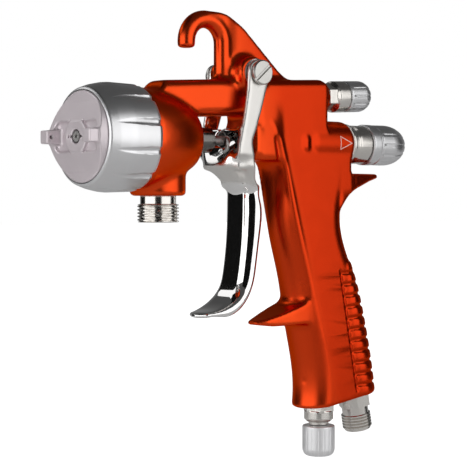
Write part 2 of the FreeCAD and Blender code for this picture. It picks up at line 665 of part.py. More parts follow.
def passages():
    """Bores inside the body, from the head to the handle's foot."""
    head_start = HEAD_FRONT_X - OVERRUN
    packing_seat = BELL_REAR_X - PACKING_DEPTH
    fan_passage_start = (HEAD_FRONT_X + AIR_CHAMBER_DEPTH) / math.cos(math.radians(ARM_TILT))
    fan_seat = FAN_BOSS_END - FAN_THREAD_LENGTH
    riser_foot = V(FLOW_X, 0, FLOW_SEAT_Z + FLOW_BORE_LENGTH + RISER_STUB)
    riser = V(RISER_TOP_X, 0, NEEDLE_Z).sub(riser_foot)
    feed_start = AIR_AXIS.multVec(V(-FEED_DEPTH, 0, 0))
    feed = V(FLOW_X, 0, FLOW_SEAT_Z + FEED_DEPTH_AT_FLOW).sub(feed_start)
    return [
        rod(head_start, packing_seat, FLUID_BORE_R, NEEDLE_AXIS),
        rod(head_start, HEAD_FRONT_X + NOZZLE_THREAD_LENGTH, NOZZLE_THREAD_R + SEAT_FIT, NEEDLE_AXIS),
        tube(head_start, HEAD_FRONT_X + AIR_CHAMBER_DEPTH, AIR_CHAMBER_R, NOZZLE_BOSS_R, NEEDLE_AXIS),
        rod(packing_seat, BELL_REAR_X + OVERRUN, PACKING_R + SEAT_FIT, NEEDLE_AXIS),
        rod(FLUID_BOSS_Z - NEEDLE_Z, 0, FLUID_NIPPLE_BORE_R, FLUID_AXIS),
        rod(-FLUID_ROOT_LENGTH, OVERRUN, FLUID_ROOT_R + SEAT_FIT, FLUID_AXIS),
        rod(BODY_FRONT_X - OVERRUN, BODY_FRONT_X + GLAND_LENGTH, GLAND_R + SEAT_FIT, NEEDLE_AXIS),
        rod(BODY_FRONT_X, VALVE_SEAT_X, VALVE_PASSAGE_R, NEEDLE_AXIS),
        rod(VALVE_SEAT_X, HOUSING_BOSS_END + OVERRUN, CHAMBER_R, NEEDLE_AXIS),
        rod(fan_passage_start, fan_seat, FAN_PASSAGE_R, FAN_AXIS),
        rod(fan_seat, FAN_BOSS_END + OVERRUN, FAN_THREAD_R + SEAT_FIT, FAN_AXIS),
        Part.makeCylinder(FAN_PASSAGE_R, ARM_Z - NEEDLE_Z, V(FAN_RISER_X, 0, NEEDLE_Z)),
        rod(0, FOOT_SEAT_CUT, hexagon_corner(FLOW_HEX) + FACE_GAP, FLOW_AXIS),
        rod(-FLOW_BORE_LENGTH, OVERRUN, FLOW_BORE_R + SEAT_FIT, FLOW_AXIS),
        rod(-FLOW_BORE_LENGTH - RISER_STUB, -FLOW_BORE_LENGTH, MAIN_PASSAGE_R, FLOW_AXIS),
        Part.makeCylinder(MAIN_PASSAGE_R, riser.Length, riser_foot, riser),
        Part.makeCylinder(FEED_R, feed.Length, feed_start, feed),
        rod(-FEED_DEPTH - FEED_R, -AIR_ROOT_LENGTH, MAIN_PASSAGE_R, AIR_AXIS),
        rod(0, FOOT_SEAT_CUT, hexagon_corner(AIR_HEX) + FACE_GAP, AIR_AXIS),
        rod(-AIR_ROOT_LENGTH, OVERRUN, AIR_ROOT_R + SEAT_FIT, AIR_AXIS),
        cross_cylinder(PIVOT_X, PIVOT_Z, PIVOT_PIN_R + SEAT_FIT, PIVOT_BOSS_HALF + OVERRUN),
    ]


def gun_body():
    fluid_boss = rod(FLUID_BOSS_Z - NEEDLE_Z, 0, FLUID_BOSS_R, FLUID_AXIS)
    fan_boss = rod(FAN_BOSS_START, FAN_BOSS_END, FAN_BOSS_R, FAN_AXIS)
    housing_boss = turned(list(HOUSING_BOSS_PROFILE) + [(HOUSING_BOSS_END, 0)], NEEDLE_AXIS)
    pivot_boss = cross_cylinder(PIVOT_X, PIVOT_Z, PIVOT_BOSS_R, PIVOT_BOSS_HALF)
    handle = handle_loft(0, 0).cut(below_foot())
    forms = [bell(), arm(), rear_body(), valve_boss(), handle, fluid_boss, fan_boss, housing_boss, hook_web(),
             pivot_boss, blade(REST_SIDE, REST_PLAN), blade(SPUR_SIDE, SPUR_PLAN)]
    forms += hook()
    forms += grip_pads()
    return cut(fused(forms), passages())


# ---- head pieces ---------------------------------------------------------------------------------
def retaining_ring():
    lip_end = RING_FRONT_X + RING_LIP_LENGTH
    bore = HEAD_R + RUNNING_FIT
    outline = [(RING_FRONT_X, RING_LIP_R)]
    for behind, inside in RING_PROFILE:
        outline.append((RING_FRONT_X + behind, RING_R - inside))
    outline += [(RING_REAR_X, bore), (lip_end, bore), (lip_end, RING_LIP_R)]
    flutes = []
    for index in range(RING_FLUTES):
        angle = math.radians(RING_FLUTE_PHASE + index * 360 / RING_FLUTES)
        offset = RING_R + RING_FLUTE_R - RING_FLUTE_DEPTH
        start = V(RING_REAR_X - RING_FLUTE_LENGTH, offset * math.cos(angle),
                  NEEDLE_Z + offset * math.sin(angle))
        flutes.append(Part.makeCylinder(RING_FLUTE_R, RING_FLUTE_LENGTH + OVERRUN, start, X_DIR))
    return cut(turned(outline, NEEDLE_AXIS), flutes)


def cap_slopes():
    """Wedges above and below the horns that leave the cap's face sloping to its rim."""
    front = CAP_RIDGE_X - OVERRUN
    ridge_half = HORN_HEIGHT / 2
    wedges = []
    for side in (1, -1):
        wedges.append(slab([(CAP_RIDGE_X, NEEDLE_Z + side * ridge_half),
                            (CAP_EDGE_X, NEEDLE_Z + side * CAP_SLOPE_HALF),
                            (CAP_EDGE_X, NEEDLE_Z + side * RING_R), (front, NEEDLE_Z + side * RING_R),
                            (front, NEEDLE_Z + side * ridge_half)], RING_R))
    return wedges


def cap_horns():
    """Both air horns, from the slot's floor to their tips, no wider than the rim."""
    half = HORN_HEIGHT / 2
    rim = rod(HORN_TIP_X, CAP_EDGE_X, CAP_RIM_R, NEEDLE_AXIS)
    horns = []
    for side in (1, -1):
        y_low, y_high = sorted((side * HORN_INNER_Y, side * HORN_OUTER_Y))
        horn = box((HORN_TIP_X, y_low, NEEDLE_Z - half), (CAP_EDGE_X, y_high, NEEDLE_Z + half))
        horns.append(horn.common(rim))
    return horns


def cap_jets():
    """Holes of the air cap: the centre hole, the jets beside it and those of the horns."""
    holes = [rod(CAP_BOSS_X - OVERRUN, CAP_REAR_X, CAP_CENTRE_HOLE_R, NEEDLE_AXIS)]
    horn_middle = (HORN_INNER_Y + HORN_OUTER_Y) / 2
    inside_x = CAP_EDGE_X + CAP_WALL
    for side in (1, -1):
        for jet_y in JET_Y:
            start = V(CAP_BOSS_X - OVERRUN, side * jet_y, NEEDLE_Z)
            holes.append(Part.makeCylinder(JET_R, inside_x - start.x, start, X_DIR))
        for jet_x in HORN_JET_X:
            start = V(jet_x, side * (HORN_INNER_Y - OVERRUN), NEEDLE_Z)
            reach = horn_middle - HORN_INNER_Y + OVERRUN
            holes.append(Part.makeCylinder(HORN_JET_R, reach, start, V(0, side, 0)))
        feed = V(min(HORN_JET_X), side * horn_middle, NEEDLE_Z)
        holes.append(Part.makeCylinder(HORN_FEED_R, inside_x - feed.x + OVERRUN, feed, X_DIR))
    return holes


def air_cap():
    flange_x = RING_FRONT_X + RING_LIP_LENGTH + RUNNING_FIT
    flange_end = flange_x + CAP_FLANGE
    skirt_r = CAP_RIM_R - CAP_SKIRT_STEP
    inner_r = CAP_RIM_R - CAP_SKIRT
    inside_x = CAP_EDGE_X + CAP_WALL
    cap = turned([(CAP_RIDGE_X, 0), (CAP_RIDGE_X, CAP_RIM_R), (flange_x, CAP_RIM_R),
                  (flange_x, CAP_FLANGE_R),
                  (flange_end, CAP_FLANGE_R), (flange_end, skirt_r), (CAP_REAR_X, skirt_r),
                  (CAP_REAR_X, inner_r), (inside_x, inner_r), (inside_x - CAP_DISH, 0)], NEEDLE_AXIS)
    slot_low, slot_high = NEEDLE_Z - CAP_SLOT_HALF_HEIGHT, NEEDLE_Z + CAP_SLOT_HALF_HEIGHT
    slot_wire = rounded_rectangle(CAP_RIDGE_X - OVERRUN, CAP_SLOT_HALF_LENGTH, slot_low, slot_high,
                                  CAP_SLOT_CORNER_R)
    slot = Part.Face(slot_wire).extrude(V(CAP_SLOT_X - CAP_RIDGE_X + OVERRUN, 0, 0))
    boss = rod(CAP_BOSS_X, CAP_EDGE_X, CAP_BOSS_R, NEEDLE_AXIS)
    boss = boss.common(box((CAP_BOSS_X, -CAP_BOSS_R, slot_low), (CAP_EDGE_X, CAP_BOSS_R, slot_high)))
    cap = cut(cap, cap_slopes() + [slot])
    return cut(fused([cap, boss] + cap_horns()), cap_jets())


def cap_clip():
    """Wire clip behind the cap's flange, in the ring's bore."""
    start = RING_FRONT_X + RING_LIP_LENGTH + RUNNING_FIT + CAP_FLANGE + CLIP_GAP
    return tube(start, start + CLIP_WIRE, HEAD_R + RUNNING_FIT - SEAT_FIT, HEAD_R - CLIP_WIRE, NEEDLE_AXIS)


def fluid_nozzle():
    shoulder_x = HEAD_FRONT_X - SEAT_GAP
    rear_x = HEAD_FRONT_X + NOZZLE_THREAD_LENGTH - SEAT_GAP
    return turned([(NOZZLE_TIP_X, NOZZLE_BORE_R), (NOZZLE_TIP_X, NOZZLE_TIP_R),
                   (NOZZLE_TIP_X + NOZZLE_TIP_LENGTH, NOZZLE_TIP_R), (NOZZLE_CONE_X, NOZZLE_CONE_R),
                   (NOZZLE_FLANGE_X, NOZZLE_FLANGE_R), (shoulder_x, NOZZLE_FLANGE_R),
                   (shoulder_x, NOZZLE_THREAD_R), (rear_x, NOZZLE_THREAD_R), (rear_x, FLUID_BORE_R),
                   (FLUID_BORE_FRONT_X, FLUID_BORE_R), (NOZZLE_TIP_X + NOZZLE_BORE_LENGTH, NOZZLE_BORE_R)],
                  NEEDLE_AXIS)


def air_baffle():
    """Ring that spreads the air between the head and the air cap."""
    end = HEAD_FRONT_X - SEAT_GAP
    start = end - BAFFLE_LENGTH
    ring = tube(start, end, BAFFLE_R, NOZZLE_FLANGE_R + RUNNING_FIT, NEEDLE_AXIS)
    holes = []
    for index in range(BAFFLE_HOLES):
        angle = math.radians(index * 360 / BAFFLE_HOLES)
        centre = V(start - OVERRUN, BAFFLE_PITCH_R * math.cos(angle),
                   NEEDLE_Z + BAFFLE_PITCH_R * math.sin(angle))
        holes.append(Part.makeCylinder(BAFFLE_HOLE_R, BAFFLE_LENGTH + 2 * OVERRUN, centre, X_DIR))
    return cut(ring, holes)


def needle():
    point_x = NOZZLE_TIP_X + NEEDLE_POINT_GAP
    seat_x = NOZZLE_TIP_X + NOZZLE_BORE_LENGTH
    return turned([(point_x, 0), (point_x, NEEDLE_POINT_R), (seat_x, NEEDLE_SEAT_R),
                   (NEEDLE_TAPER_END_X, NEEDLE_R), (NEEDLE_REAR_X, NEEDLE_R), (NEEDLE_REAR_X, 0)],
                  NEEDLE_AXIS)


def needle_packing():
    start = BELL_REAR_X - PACKING_DEPTH + SEAT_GAP
    return tube(start, start + PACKING_LENGTH, PACKING_R, NEEDLE_R + RUNNING_FIT, NEEDLE_AXIS)


def needle_packing_nut():
    inside = BELL_REAR_X - PACKING_DEPTH + PACKING_LENGTH + 2 * SEAT_GAP
    face = BELL_REAR_X + SEAT_GAP
    flange_end = BELL_REAR_X + PACKING_NUT_FLANGE
    end = BELL_REAR_X + PACKING_NUT_LENGTH
    nut = turned([(inside, PACKING_NUT_BORE_R), (inside, PACKING_R), (face, PACKING_R),
                  (face, PACKING_NUT_FLANGE_R), (flange_end, PACKING_NUT_FLANGE_R),
                  (flange_end + EDGE, PACKING_NUT_R), (end - 2 * EDGE, PACKING_NUT_R),
                  (end, PACKING_NUT_R - 2 * EDGE), (end, PACKING_NUT_BORE_R)], NEEDLE_AXIS)
    half = PACKING_NUT_SLOT / 2
    slots = []
    for angle in (0, 90):
        slot = box((end - PACKING_NUT_SLOT_DEPTH, -PACKING_NUT_FLANGE_R, -half),
                   (end + OVERRUN, PACKING_NUT_FLANGE_R, half))
        slot.Placement = FreeCAD.Placement(V(0, 0, NEEDLE_Z), FreeCAD.Rotation(X_DIR, angle))
        slots.append(slot)
    return cut(nut, slots)


def fluid_inlet_nipple():
    root_end = SEAT_GAP - FLUID_ROOT_LENGTH
    neck = turned([(root_end, FLUID_NIPPLE_BORE_R), (root_end, FLUID_ROOT_R), (FITTING_FACE, FLUID_ROOT_R),
                   (FITTING_FACE, FLUID_NECK_R), (FLUID_NECK_LENGTH, FLUID_NECK_R),
                   (FLUID_NECK_LENGTH, FLUID_NIPPLE_BORE_R)], FLUID_AXIS)
    thread = male_thread(FLUID_NECK_LENGTH, FLUID_THREAD_LENGTH, FLUID_THREAD_R, FLUID_THREAD_PITCH,
                         FLUID_NIPPLE_BORE_R, FLUID_AXIS)
    return fused([neck, thread])


def fluid_inlet_seal():
    return sealing_washer(0, FLUID_NECK_R, FLUID_ROOT_R + SEAT_FIT, FLUID_AXIS)


# ---- valve pieces along the needle axis ----------------------------------------------------------
def air_valve_gland():
    end = BODY_FRONT_X + GLAND_LENGTH - SEAT_GAP
    return tube(BODY_FRONT_X, end, GLAND_R, STEM_R + RUNNING_FIT, NEEDLE_AXIS)


def gland_seal():
    start = BODY_FRONT_X + GLAND_LENGTH
    return tube(start, start + GLAND_SEAL, VALVE_PASSAGE_R - SEAT_FIT, STEM_R + RUNNING_FIT, NEEDLE_AXIS)


def air_valve_seat():
    start = VALVE_SEAT_X + SEAT_GAP
    end = VALVE_SEAT_X + VALVE_SEAT_LENGTH
    return tube(start, end, CHAMBER_R - SEAT_FIT, VALVE_SEAT_BORE_R, NEEDLE_AXIS)


def air_valve_stem():
    head_end = STEM_HEAD_X + STEM_HEAD_LENGTH
    disc_end = VALVE_DISC_X + VALVE_DISC_LENGTH
    return turned([(STEM_HEAD_X, STEM_BORE_R), (STEM_HEAD_X, STEM_HEAD_R), (head_end, STEM_HEAD_R),
                   (head_end, STEM_R), (VALVE_DISC_X, STEM_R), (VALVE_DISC_X, VALVE_DISC_R),
                   (disc_end, VALVE_DISC_R), (disc_end, STEM_R), (STEM_REAR_X, STEM_R),
                   (STEM_REAR_X, STEM_BORE_R)], NEEDLE_AXIS)


def air_valve_face():
    """Soft face ring between the valve disc and its seat."""
    end = VALVE_DISC_X - SEAT_GAP
    return tube(end - VALVE_FACE, end, VALVE_DISC_R, STEM_R + SEAT_FIT, NEEDLE_AXIS)


def needle_collar():
    return tube(COLLAR_X, COLLAR_X + COLLAR_LENGTH, COLLAR_R, NEEDLE_R + SEAT_FIT, NEEDLE_AXIS)


def air_valve_spring():
    start = VALVE_DISC_X + VALVE_DISC_LENGTH + SPRING_END_GAP
    end = HOUSING_BOSS_END - HOUSING_THREAD_LENGTH - SPRING_END_GAP
    return spring(start, end, VALVE_SPRING_R, VALVE_SPRING_WIRE, VALVE_SPRING_TURNS)


def needle_spring():
    start = COLLAR_X + COLLAR_LENGTH + SPRING_END_GAP
    end = FLUID_KNOB_WALL_X - STOP_FLANGE - SPRING_END_GAP
    return spring(start, end, NEEDLE_SPRING_R, NEEDLE_SPRING_WIRE, NEEDLE_SPRING_TURNS)


def needle_housing():
    start = HOUSING_BOSS_END - HOUSING_THREAD_LENGTH
    shoulder = HOUSING_BOSS_END + FITTING_FACE
    throat_end = start + HOUSING_THROAT_LENGTH
    thread_r = CHAMBER_R - SEAT_FIT
    outline = [(start, HOUSING_THROAT_R), (start, thread_r), (shoulder, thread_r)]
    for along, radius in HOUSING_NECK_PROFILE:
        outline.append((shoulder + along, radius))
    outline += [(HOUSING_NECK_END - EDGE, HOUSING_NECK_R), (HOUSING_NECK_END, HOUSING_NECK_R - EDGE),
                (HOUSING_NECK_END, HOUSING_SPIGOT_R), (HOUSING_SPIGOT_END, HOUSING_SPIGOT_R),
                (HOUSING_SPIGOT_END, HOUSING_BORE_R), (throat_end, HOUSING_BORE_R),
                (throat_end, HOUSING_THROAT_R)]
    return turned(outline, NEEDLE_AXIS)


def housing_seal():
    return sealing_washer(HOUSING_BOSS_END, HOUSING_FLANGE_R, CHAMBER_R, NEEDLE_AXIS)


def spring_seat():
    """Needle stop and spring seat, carried by the fluid knob."""
    flange_x = FLUID_KNOB_WALL_X - STOP_FLANGE
    flange_r = HOUSING_BORE_R - FACE_GAP
    wall_x = FLUID_KNOB_WALL_X - RUNNING_FIT
    tang_end = FLUID_KNOB_WALL_X + STOP_TANG
    return turned([(STOP_X, 0), (STOP_X, STOP_R), (flange_x, STOP_R), (flange_x, flange_r),
                   (wall_x, flange_r), (wall_x, STOP_R), (tang_end, STOP_R), (tang_end, 0)], NEEDLE_AXIS)


# ---- knobs ---------------------------------------------------------------------------------------
def knob_grooves(start, end, radius, count, depth, groove_r, axis):
    """Long shallow grooves round a knob."""
    grooves = []
    offset = radius + groove_r - depth
    for index in range(count):
        angle = math.radians(index * 360 / count)
        groove = Part.makeCylinder(groove_r, end - start,
                                   V(start, offset * math.cos(angle), offset * math.sin(angle)), X_DIR)
        groove.Placement = axis
        grooves.append(groove)
    return grooves


def knob_outline(start, end, radius, nose, tip_radius):
    """Outline of a knob with a rounded far end, from its near rim to the axis."""
    outline = [(start, radius - KNOB_EDGE), (start + KNOB_EDGE, radius)]
    for step in range(NOSE_STEPS + 1):
        angle = math.radians(90 * step / NOSE_STEPS)
        along = end - nose * (1 - math.sin(angle))
        outline.append((along, radius - (radius - tip_radius) * (1 - math.cos(angle))))
    outline.append((end, 0))
    return outline


def small_knob(start, end, radius, pocket_end, grooves, axis):
    """Knob on the end of a valve spindle."""
    outline = [(start, 0)] + knob_outline(start, end, radius, SMALL_KNOB_NOSE, radius - SMALL_KNOB_FLAT)
    pocket = rod(start - OVERRUN, pocket_end, SPINDLE_R + RUNNING_FIT, axis)
    ribs = knob_grooves(start + SMALL_KNOB_GROOVE_START, end + OVERRUN, radius, grooves,
                        SMALL_KNOB_GROOVE_DEPTH, SMALL_KNOB_GROOVE_R, axis)
    return cut(turned(outline, axis), [pocket] + ribs)


def fluid_knob():
    start = HOUSING_NECK_END + FACE_GAP
    inner = HOUSING_SPIGOT_R + RUNNING_FIT
    outline = [(FLUID_KNOB_WALL_X, 0), (FLUID_KNOB_WALL_X, inner), (start, inner)]
    outline += knob_outline(start, FLUID_KNOB_END, FLUID_KNOB_R, FLUID_KNOB_NOSE, FLUID_KNOB_NOSE_R)
    pocket = rod(FLUID_KNOB_WALL_X - OVERRUN, FLUID_KNOB_WALL_X + STOP_TANG + FACE_GAP, STOP_R + RUNNING_FIT,
                 NEEDLE_AXIS)
    grooves = knob_grooves(start + FLUID_KNOB_COLLAR, FLUID_KNOB_END + OVERRUN, FLUID_KNOB_R, KNOB_GROOVES,
                           FLUID_KNOB_GROOVE_DEPTH, FLUID_KNOB_GROOVE_R, NEEDLE_AXIS)
    return cut(turned(outline, NEEDLE_AXIS), [pocket] + grooves)


# ---- fan valve -----------------------------------------------------------------------------------
def fan_valve_housing():
    bore = SPINDLE_R + RUNNING_FIT
    start = FAN_BOSS_END - FAN_THREAD_LENGTH + SEAT_GAP
    face = FAN_BOSS_END + FITTING_FACE
    core = tube(start, face + EDGE, FAN_THREAD_R, bore, FAN_AXIS)
    nut = hexagon(FAN_HEX, face, FAN_HEX_END, bore, FAN_AXIS)
    collar_x = FAN_HEX_END - EDGE
    collar = turned([(collar_x, bore), (collar_x, FAN_HEX / 2), (collar_x + FAN_COLLAR_SLOPE, FAN_COLLAR_R),
                     (FAN_COLLAR_END - EDGE, FAN_COLLAR_R), (FAN_COLLAR_END, FAN_COLLAR_R - EDGE),
                     (FAN_COLLAR_END, bore)], FAN_AXIS)
    return fused([core, nut, collar])


def fan_valve_seal():
    return sealing_washer(FAN_BOSS_END, FAN_HEX / 2, FAN_THREAD_R + SEAT_FIT, FAN_AXIS)


def fan_spindle():
    tip = FAN_SPINDLE_FRONT
    plug_end = tip + FAN_PLUG_LENGTH
    return turned([(tip, 0), (tip, FAN_PLUG_POINT_R), (plug_end - 2 * EDGE, FAN_PLUG_R),
                   (plug_end, FAN_PLUG_R), (plug_end + EDGE, SPINDLE_R), (FAN_SPINDLE_REAR, SPINDLE_R),
                   (FAN_SPINDLE_REAR, 0)], FAN_AXIS)


def fan_knob():
    return small_knob(FAN_COLLAR_END + FACE_GAP, FAN_KNOB_END, FAN_KNOB_R, FAN_SPINDLE_REAR + FACE_GAP,
                      KNOB_GROOVES, FAN_AXIS)


# ---- flow valve and air inlet --------------------------------------------------------------------
def flow_valve_housing():
    bore = SPINDLE_R + RUNNING_FIT
    core = tube(-FLOW_ROOT_LENGTH, FITTING_FACE + EDGE, FLOW_BORE_R, bore, FLOW_AXIS)
    nut = hexagon(FLOW_HEX, FITTING_FACE, FLOW_HEX_END, bore, FLOW_AXIS)
    collar_x = FLOW_HEX_END - EDGE
    collar = turned([(collar_x, bore), (collar_x, FLOW_COLLAR_R),
                     (FLOW_COLLAR_END - FLOW_COLLAR_SLOPE, FLOW_COLLAR_R),
                     (FLOW_COLLAR_END, FLOW_COLLAR_R - FLOW_COLLAR_SLOPE), (FLOW_COLLAR_END, FLOW_NECK_R),
                     (FLOW_NECK_END, FLOW_NECK_R), (FLOW_NECK_END, bore)], FLOW_AXIS)
    return fused([core, nut, collar])


def flow_valve_seal():
    return sealing_washer(0, FLOW_HEX / 2, FLOW_BORE_R + SEAT_FIT, FLOW_AXIS)


def flow_spindle():
    tip = FACE_GAP - FLOW_BORE_LENGTH
    plug_end = tip + FLOW_PLUG_LENGTH
    return turned([(tip, 0), (tip, FLOW_PLUG_POINT_R), (plug_end - 2 * EDGE, FLOW_PLUG_R),
                   (plug_end, FLOW_PLUG_R), (plug_end + EDGE, SPINDLE_R), (FLOW_SPINDLE_END, SPINDLE_R),
                   (FLOW_SPINDLE_END, 0)], FLOW_AXIS)


def flow_knob():
    return small_knob(FLOW_KNOB_START, FLOW_KNOB_START + FLOW_KNOB_LENGTH, FLOW_KNOB_R,
                      FLOW_SPINDLE_END + FACE_GAP, FLOW_KNOB_GROOVES, FLOW_AXIS)


def air_inlet_nipple():
    hex_end = FITTING_FACE + AIR_HEX_LENGTH
    thread_start = hex_end + AIR_NECK_LENGTH
    core = tube(SEAT_GAP - AIR_ROOT_LENGTH, FITTING_FACE + EDGE, AIR_ROOT_R, AIR_BORE_R, AIR_AXIS)
    nut = hexagon(AIR_HEX, FITTING_FACE, hex_end, AIR_BORE_R, AIR_AXIS)
    neck = tube(hex_end - EDGE, thread_start, AIR_THREAD_R - THREAD_DEPTH, AIR_BORE_R, AIR_AXIS)
    thread = male_thread(thread_start, AIR_THREAD_LENGTH, AIR_THREAD_R, AIR_THREAD_PITCH, AIR_BORE_R,
                         AIR_AXIS)
    return fused([core, nut, neck, thread])


def air_inlet_washer():
    return sealing_washer(0, AIR_HEX / 2, AIR_ROOT_R + SEAT_FIT, AIR_AXIS)


# ---- trigger and its pivot -----------------------------------------------------------------------
def pivot_pin():
    """Headed sleeve through the trigger's eyes and the body's boss."""
    half = TRIGGER_OUTER_HALF + FACE_GAP
    bore = PIVOT_SCREW_R + SEAT_FIT
    pin = tube(-half, half, PIVOT_PIN_R, bore, PIVOT_AXIS)
    head = tube(-half - PIVOT_HEAD, -half, PIVOT_HEAD_R, bore, PIVOT_AXIS)
    return fused([pin, head])


def pivot_screw():
    face = TRIGGER_OUTER_HALF + FACE_GAP + SEAT_GAP
    end = face + PIVOT_HEAD
    shank_end = face - PIVOT_SCREW_LENGTH
    screw = turned([(shank_end, 0), (shank_end, PIVOT_SCREW_R), (face, PIVOT_SCREW_R), (face, PIVOT_HEAD_R),
                    (end - EDGE, PIVOT_HEAD_R), (end, PIVOT_HEAD_R - EDGE), (end, 0)], PIVOT_AXIS)
    half = PIVOT_SLOT / 2
    slot = box((-PIVOT_HEAD_R - OVERRUN, -end - OVERRUN, -half),
               (PIVOT_HEAD_R + OVERRUN, PIVOT_SLOT_DEPTH - end, half))
    slot.Placement = FreeCAD.Placement(V(PIVOT_X, 0, PIVOT_Z), FreeCAD.Rotation(Y_DIR, -PIVOT_SLOT_DEG))
    return screw.cut(slot)


def pivot_washers():
    """Thin washers between the body's boss and the trigger's eyes."""
    washers = []
    for side in (1, -1):
        start, end = sorted((side * (PIVOT_BOSS_HALF + SEAT_GAP), side * (PIVOT_BOSS_HALF + PIVOT_WASHER)))
        washers.append(tube(start, end, TRIGGER_EYE_R, PIVOT_PIN_R + RUNNING_FIT, PIVOT_AXIS))
    return Part.makeCompound(washers)


def trigger_arms():
    plates = slab(TRIGGER_ARM_SIDE, TRIGGER_OUTER_HALF)
    eyes = cross_cylinder(PIVOT_X, PIVOT_Z, TRIGGER_EYE_R, TRIGGER_OUTER_HALF)
    whole = fused([plates, eyes])
    reach = 2 * PIVOT_X
    between = box((-reach, -TRIGGER_INNER_HALF, 2 * NEEDLE_Z), (reach, TRIGGER_INNER_HALF, 0))
    return whole.cut(between)


def saddle_section(z, front, rear, side, wall):
    """Half-round section, flat to the rear, of the saddle."""
    half = TRIGGER_OUTER_HALF - side - wall
    bulge = Part.Arc(V(rear, half, z), V(front + wall, 0, z), V(rear, -half, z)).toShape()
    return Part.Wire([bulge, Part.makeLine(V(rear, -half, z), V(rear, half, z))])


def trigger_saddle():
    """Hollow saddle that joins the two arms to the finger bar."""
    outer = Part.makeLoft([saddle_section(*row, 0) for row in SADDLE_OUTSIDE], True, True)
    inner = Part.makeLoft([saddle_section(*row, SADDLE_WALL) for row in SADDLE_INSIDE], True, True)
    return outer.cut(inner).cut(slab(SADDLE_MOUTH, 2 * TRIGGER_OUTER_HALF))


def trigger_web():
    """Cross web, round the needle, that pushes the air valve's stem."""
    half = TRIGGER_INNER_HALF + EDGE
    front = TRIGGER_WEB_X - TRIGGER_WEB
    plate = box((front, -half, TRIGGER_WEB_BOTTOM_Z), (TRIGGER_WEB_X, half, TRIGGER_WEB_TOP_Z))
    return plate.cut(rod(front - OVERRUN, TRIGGER_WEB_X + OVERRUN, NEEDLE_HOLE_R, NEEDLE_AXIS))


def finger_bar():
    """Finger bar, through rounded sections down to its forward-curving toe."""
    wires = []
    for x, z, turn, half_depth, half_width in BAR_SECTIONS:
        # Drawn across the X axis, with its short side along Z, then turned to face along the bar.
        wire = rounded_rectangle(0, half_width, -half_depth, half_depth, half_depth * BAR_ROUNDNESS)
        wire.Placement = FreeCAD.Placement(V(x, 0, z), FreeCAD.Rotation(Y_DIR, 90 - turn))
        wires.append(wire)
    return Part.makeLoft(wires, True, False)


def trigger():
    hole = cross_cylinder(PIVOT_X, PIVOT_Z, PIVOT_PIN_R + RUNNING_FIT, TRIGGER_OUTER_HALF + OVERRUN)
    return fused([trigger_arms(), trigger_saddle(), trigger_web(), finger_bar()]).cut(hole)


# ---- export --------------------------------------------------------------------------------------
NODES = {
    "gun_body": gun_body, "retaining_ring": retaining_ring, "air_cap": air_cap, "cap_clip": cap_clip,
    "fluid_nozzle": fluid_nozzle, "air_baffle": air_baffle, "needle": needle,
    "needle_packing": needle_packing, "needle_packing_nut": needle_packing_nut,
    "fluid_inlet_nipple": fluid_inlet_nipple, "fluid_inlet_seal": fluid_inlet_seal,
    "air_valve_gland": air_valve_gland, "gland_seal": gland_seal, "air_valve_seat": air_valve_seat,
    "air_valve_stem": air_valve_stem, "air_valve_face": air_valve_face,
    "needle_collar": needle_collar, "air_valve_spring": air_valve_spring, "needle_spring": needle_spring,
    "needle_housing": needle_housing, "housing_seal": housing_seal, "spring_seat": spring_seat,
    "fluid_knob": fluid_knob, "fan_valve_housing": fan_valve_housing, "fan_valve_seal": fan_valve_seal,
    "fan_spindle": fan_spindle, "fan_knob": fan_knob, "flow_valve_housing": flow_valve_housing,
    "flow_valve_seal": flow_valve_seal, "flow_spindle": flow_spindle, "flow_knob": flow_knob,
    "air_inlet_nipple": air_inlet_nipple, "air_inlet_washer": air_inlet_washer, "pivot_pin": pivot_pin,
    "pivot_screw": pivot_screw, "pivot_washers": pivot_washers, "trigger": trigger,
}

os.makedirs("parts", exist_ok=True)
for name, make in NODES.items():
    shape = make()
    shape.exportStep("parts/" + name + ".step")
    print(name, "solids", len(shape.Solids), "volume", round(shape.Volume, 1), "valid", shape.isValid())
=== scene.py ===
"""Looks of a spray gun: cast, turned and polished pieces round the fixed CAD frame.

Laid out as an add-on. Every size is in millimetres unless its name says otherwise, in the frame's axes:
nozzle towards -X, top towards +Z, the gun's middle plane at Y = 0.
"""
import json
import math

import bmesh
import bpy
import numpy as np
import openvdb
from bpy.props import FloatProperty, FloatVectorProperty, IntProperty, PointerProperty
from mathutils import Matrix, Vector
from mathutils.bvhtree import BVHTree

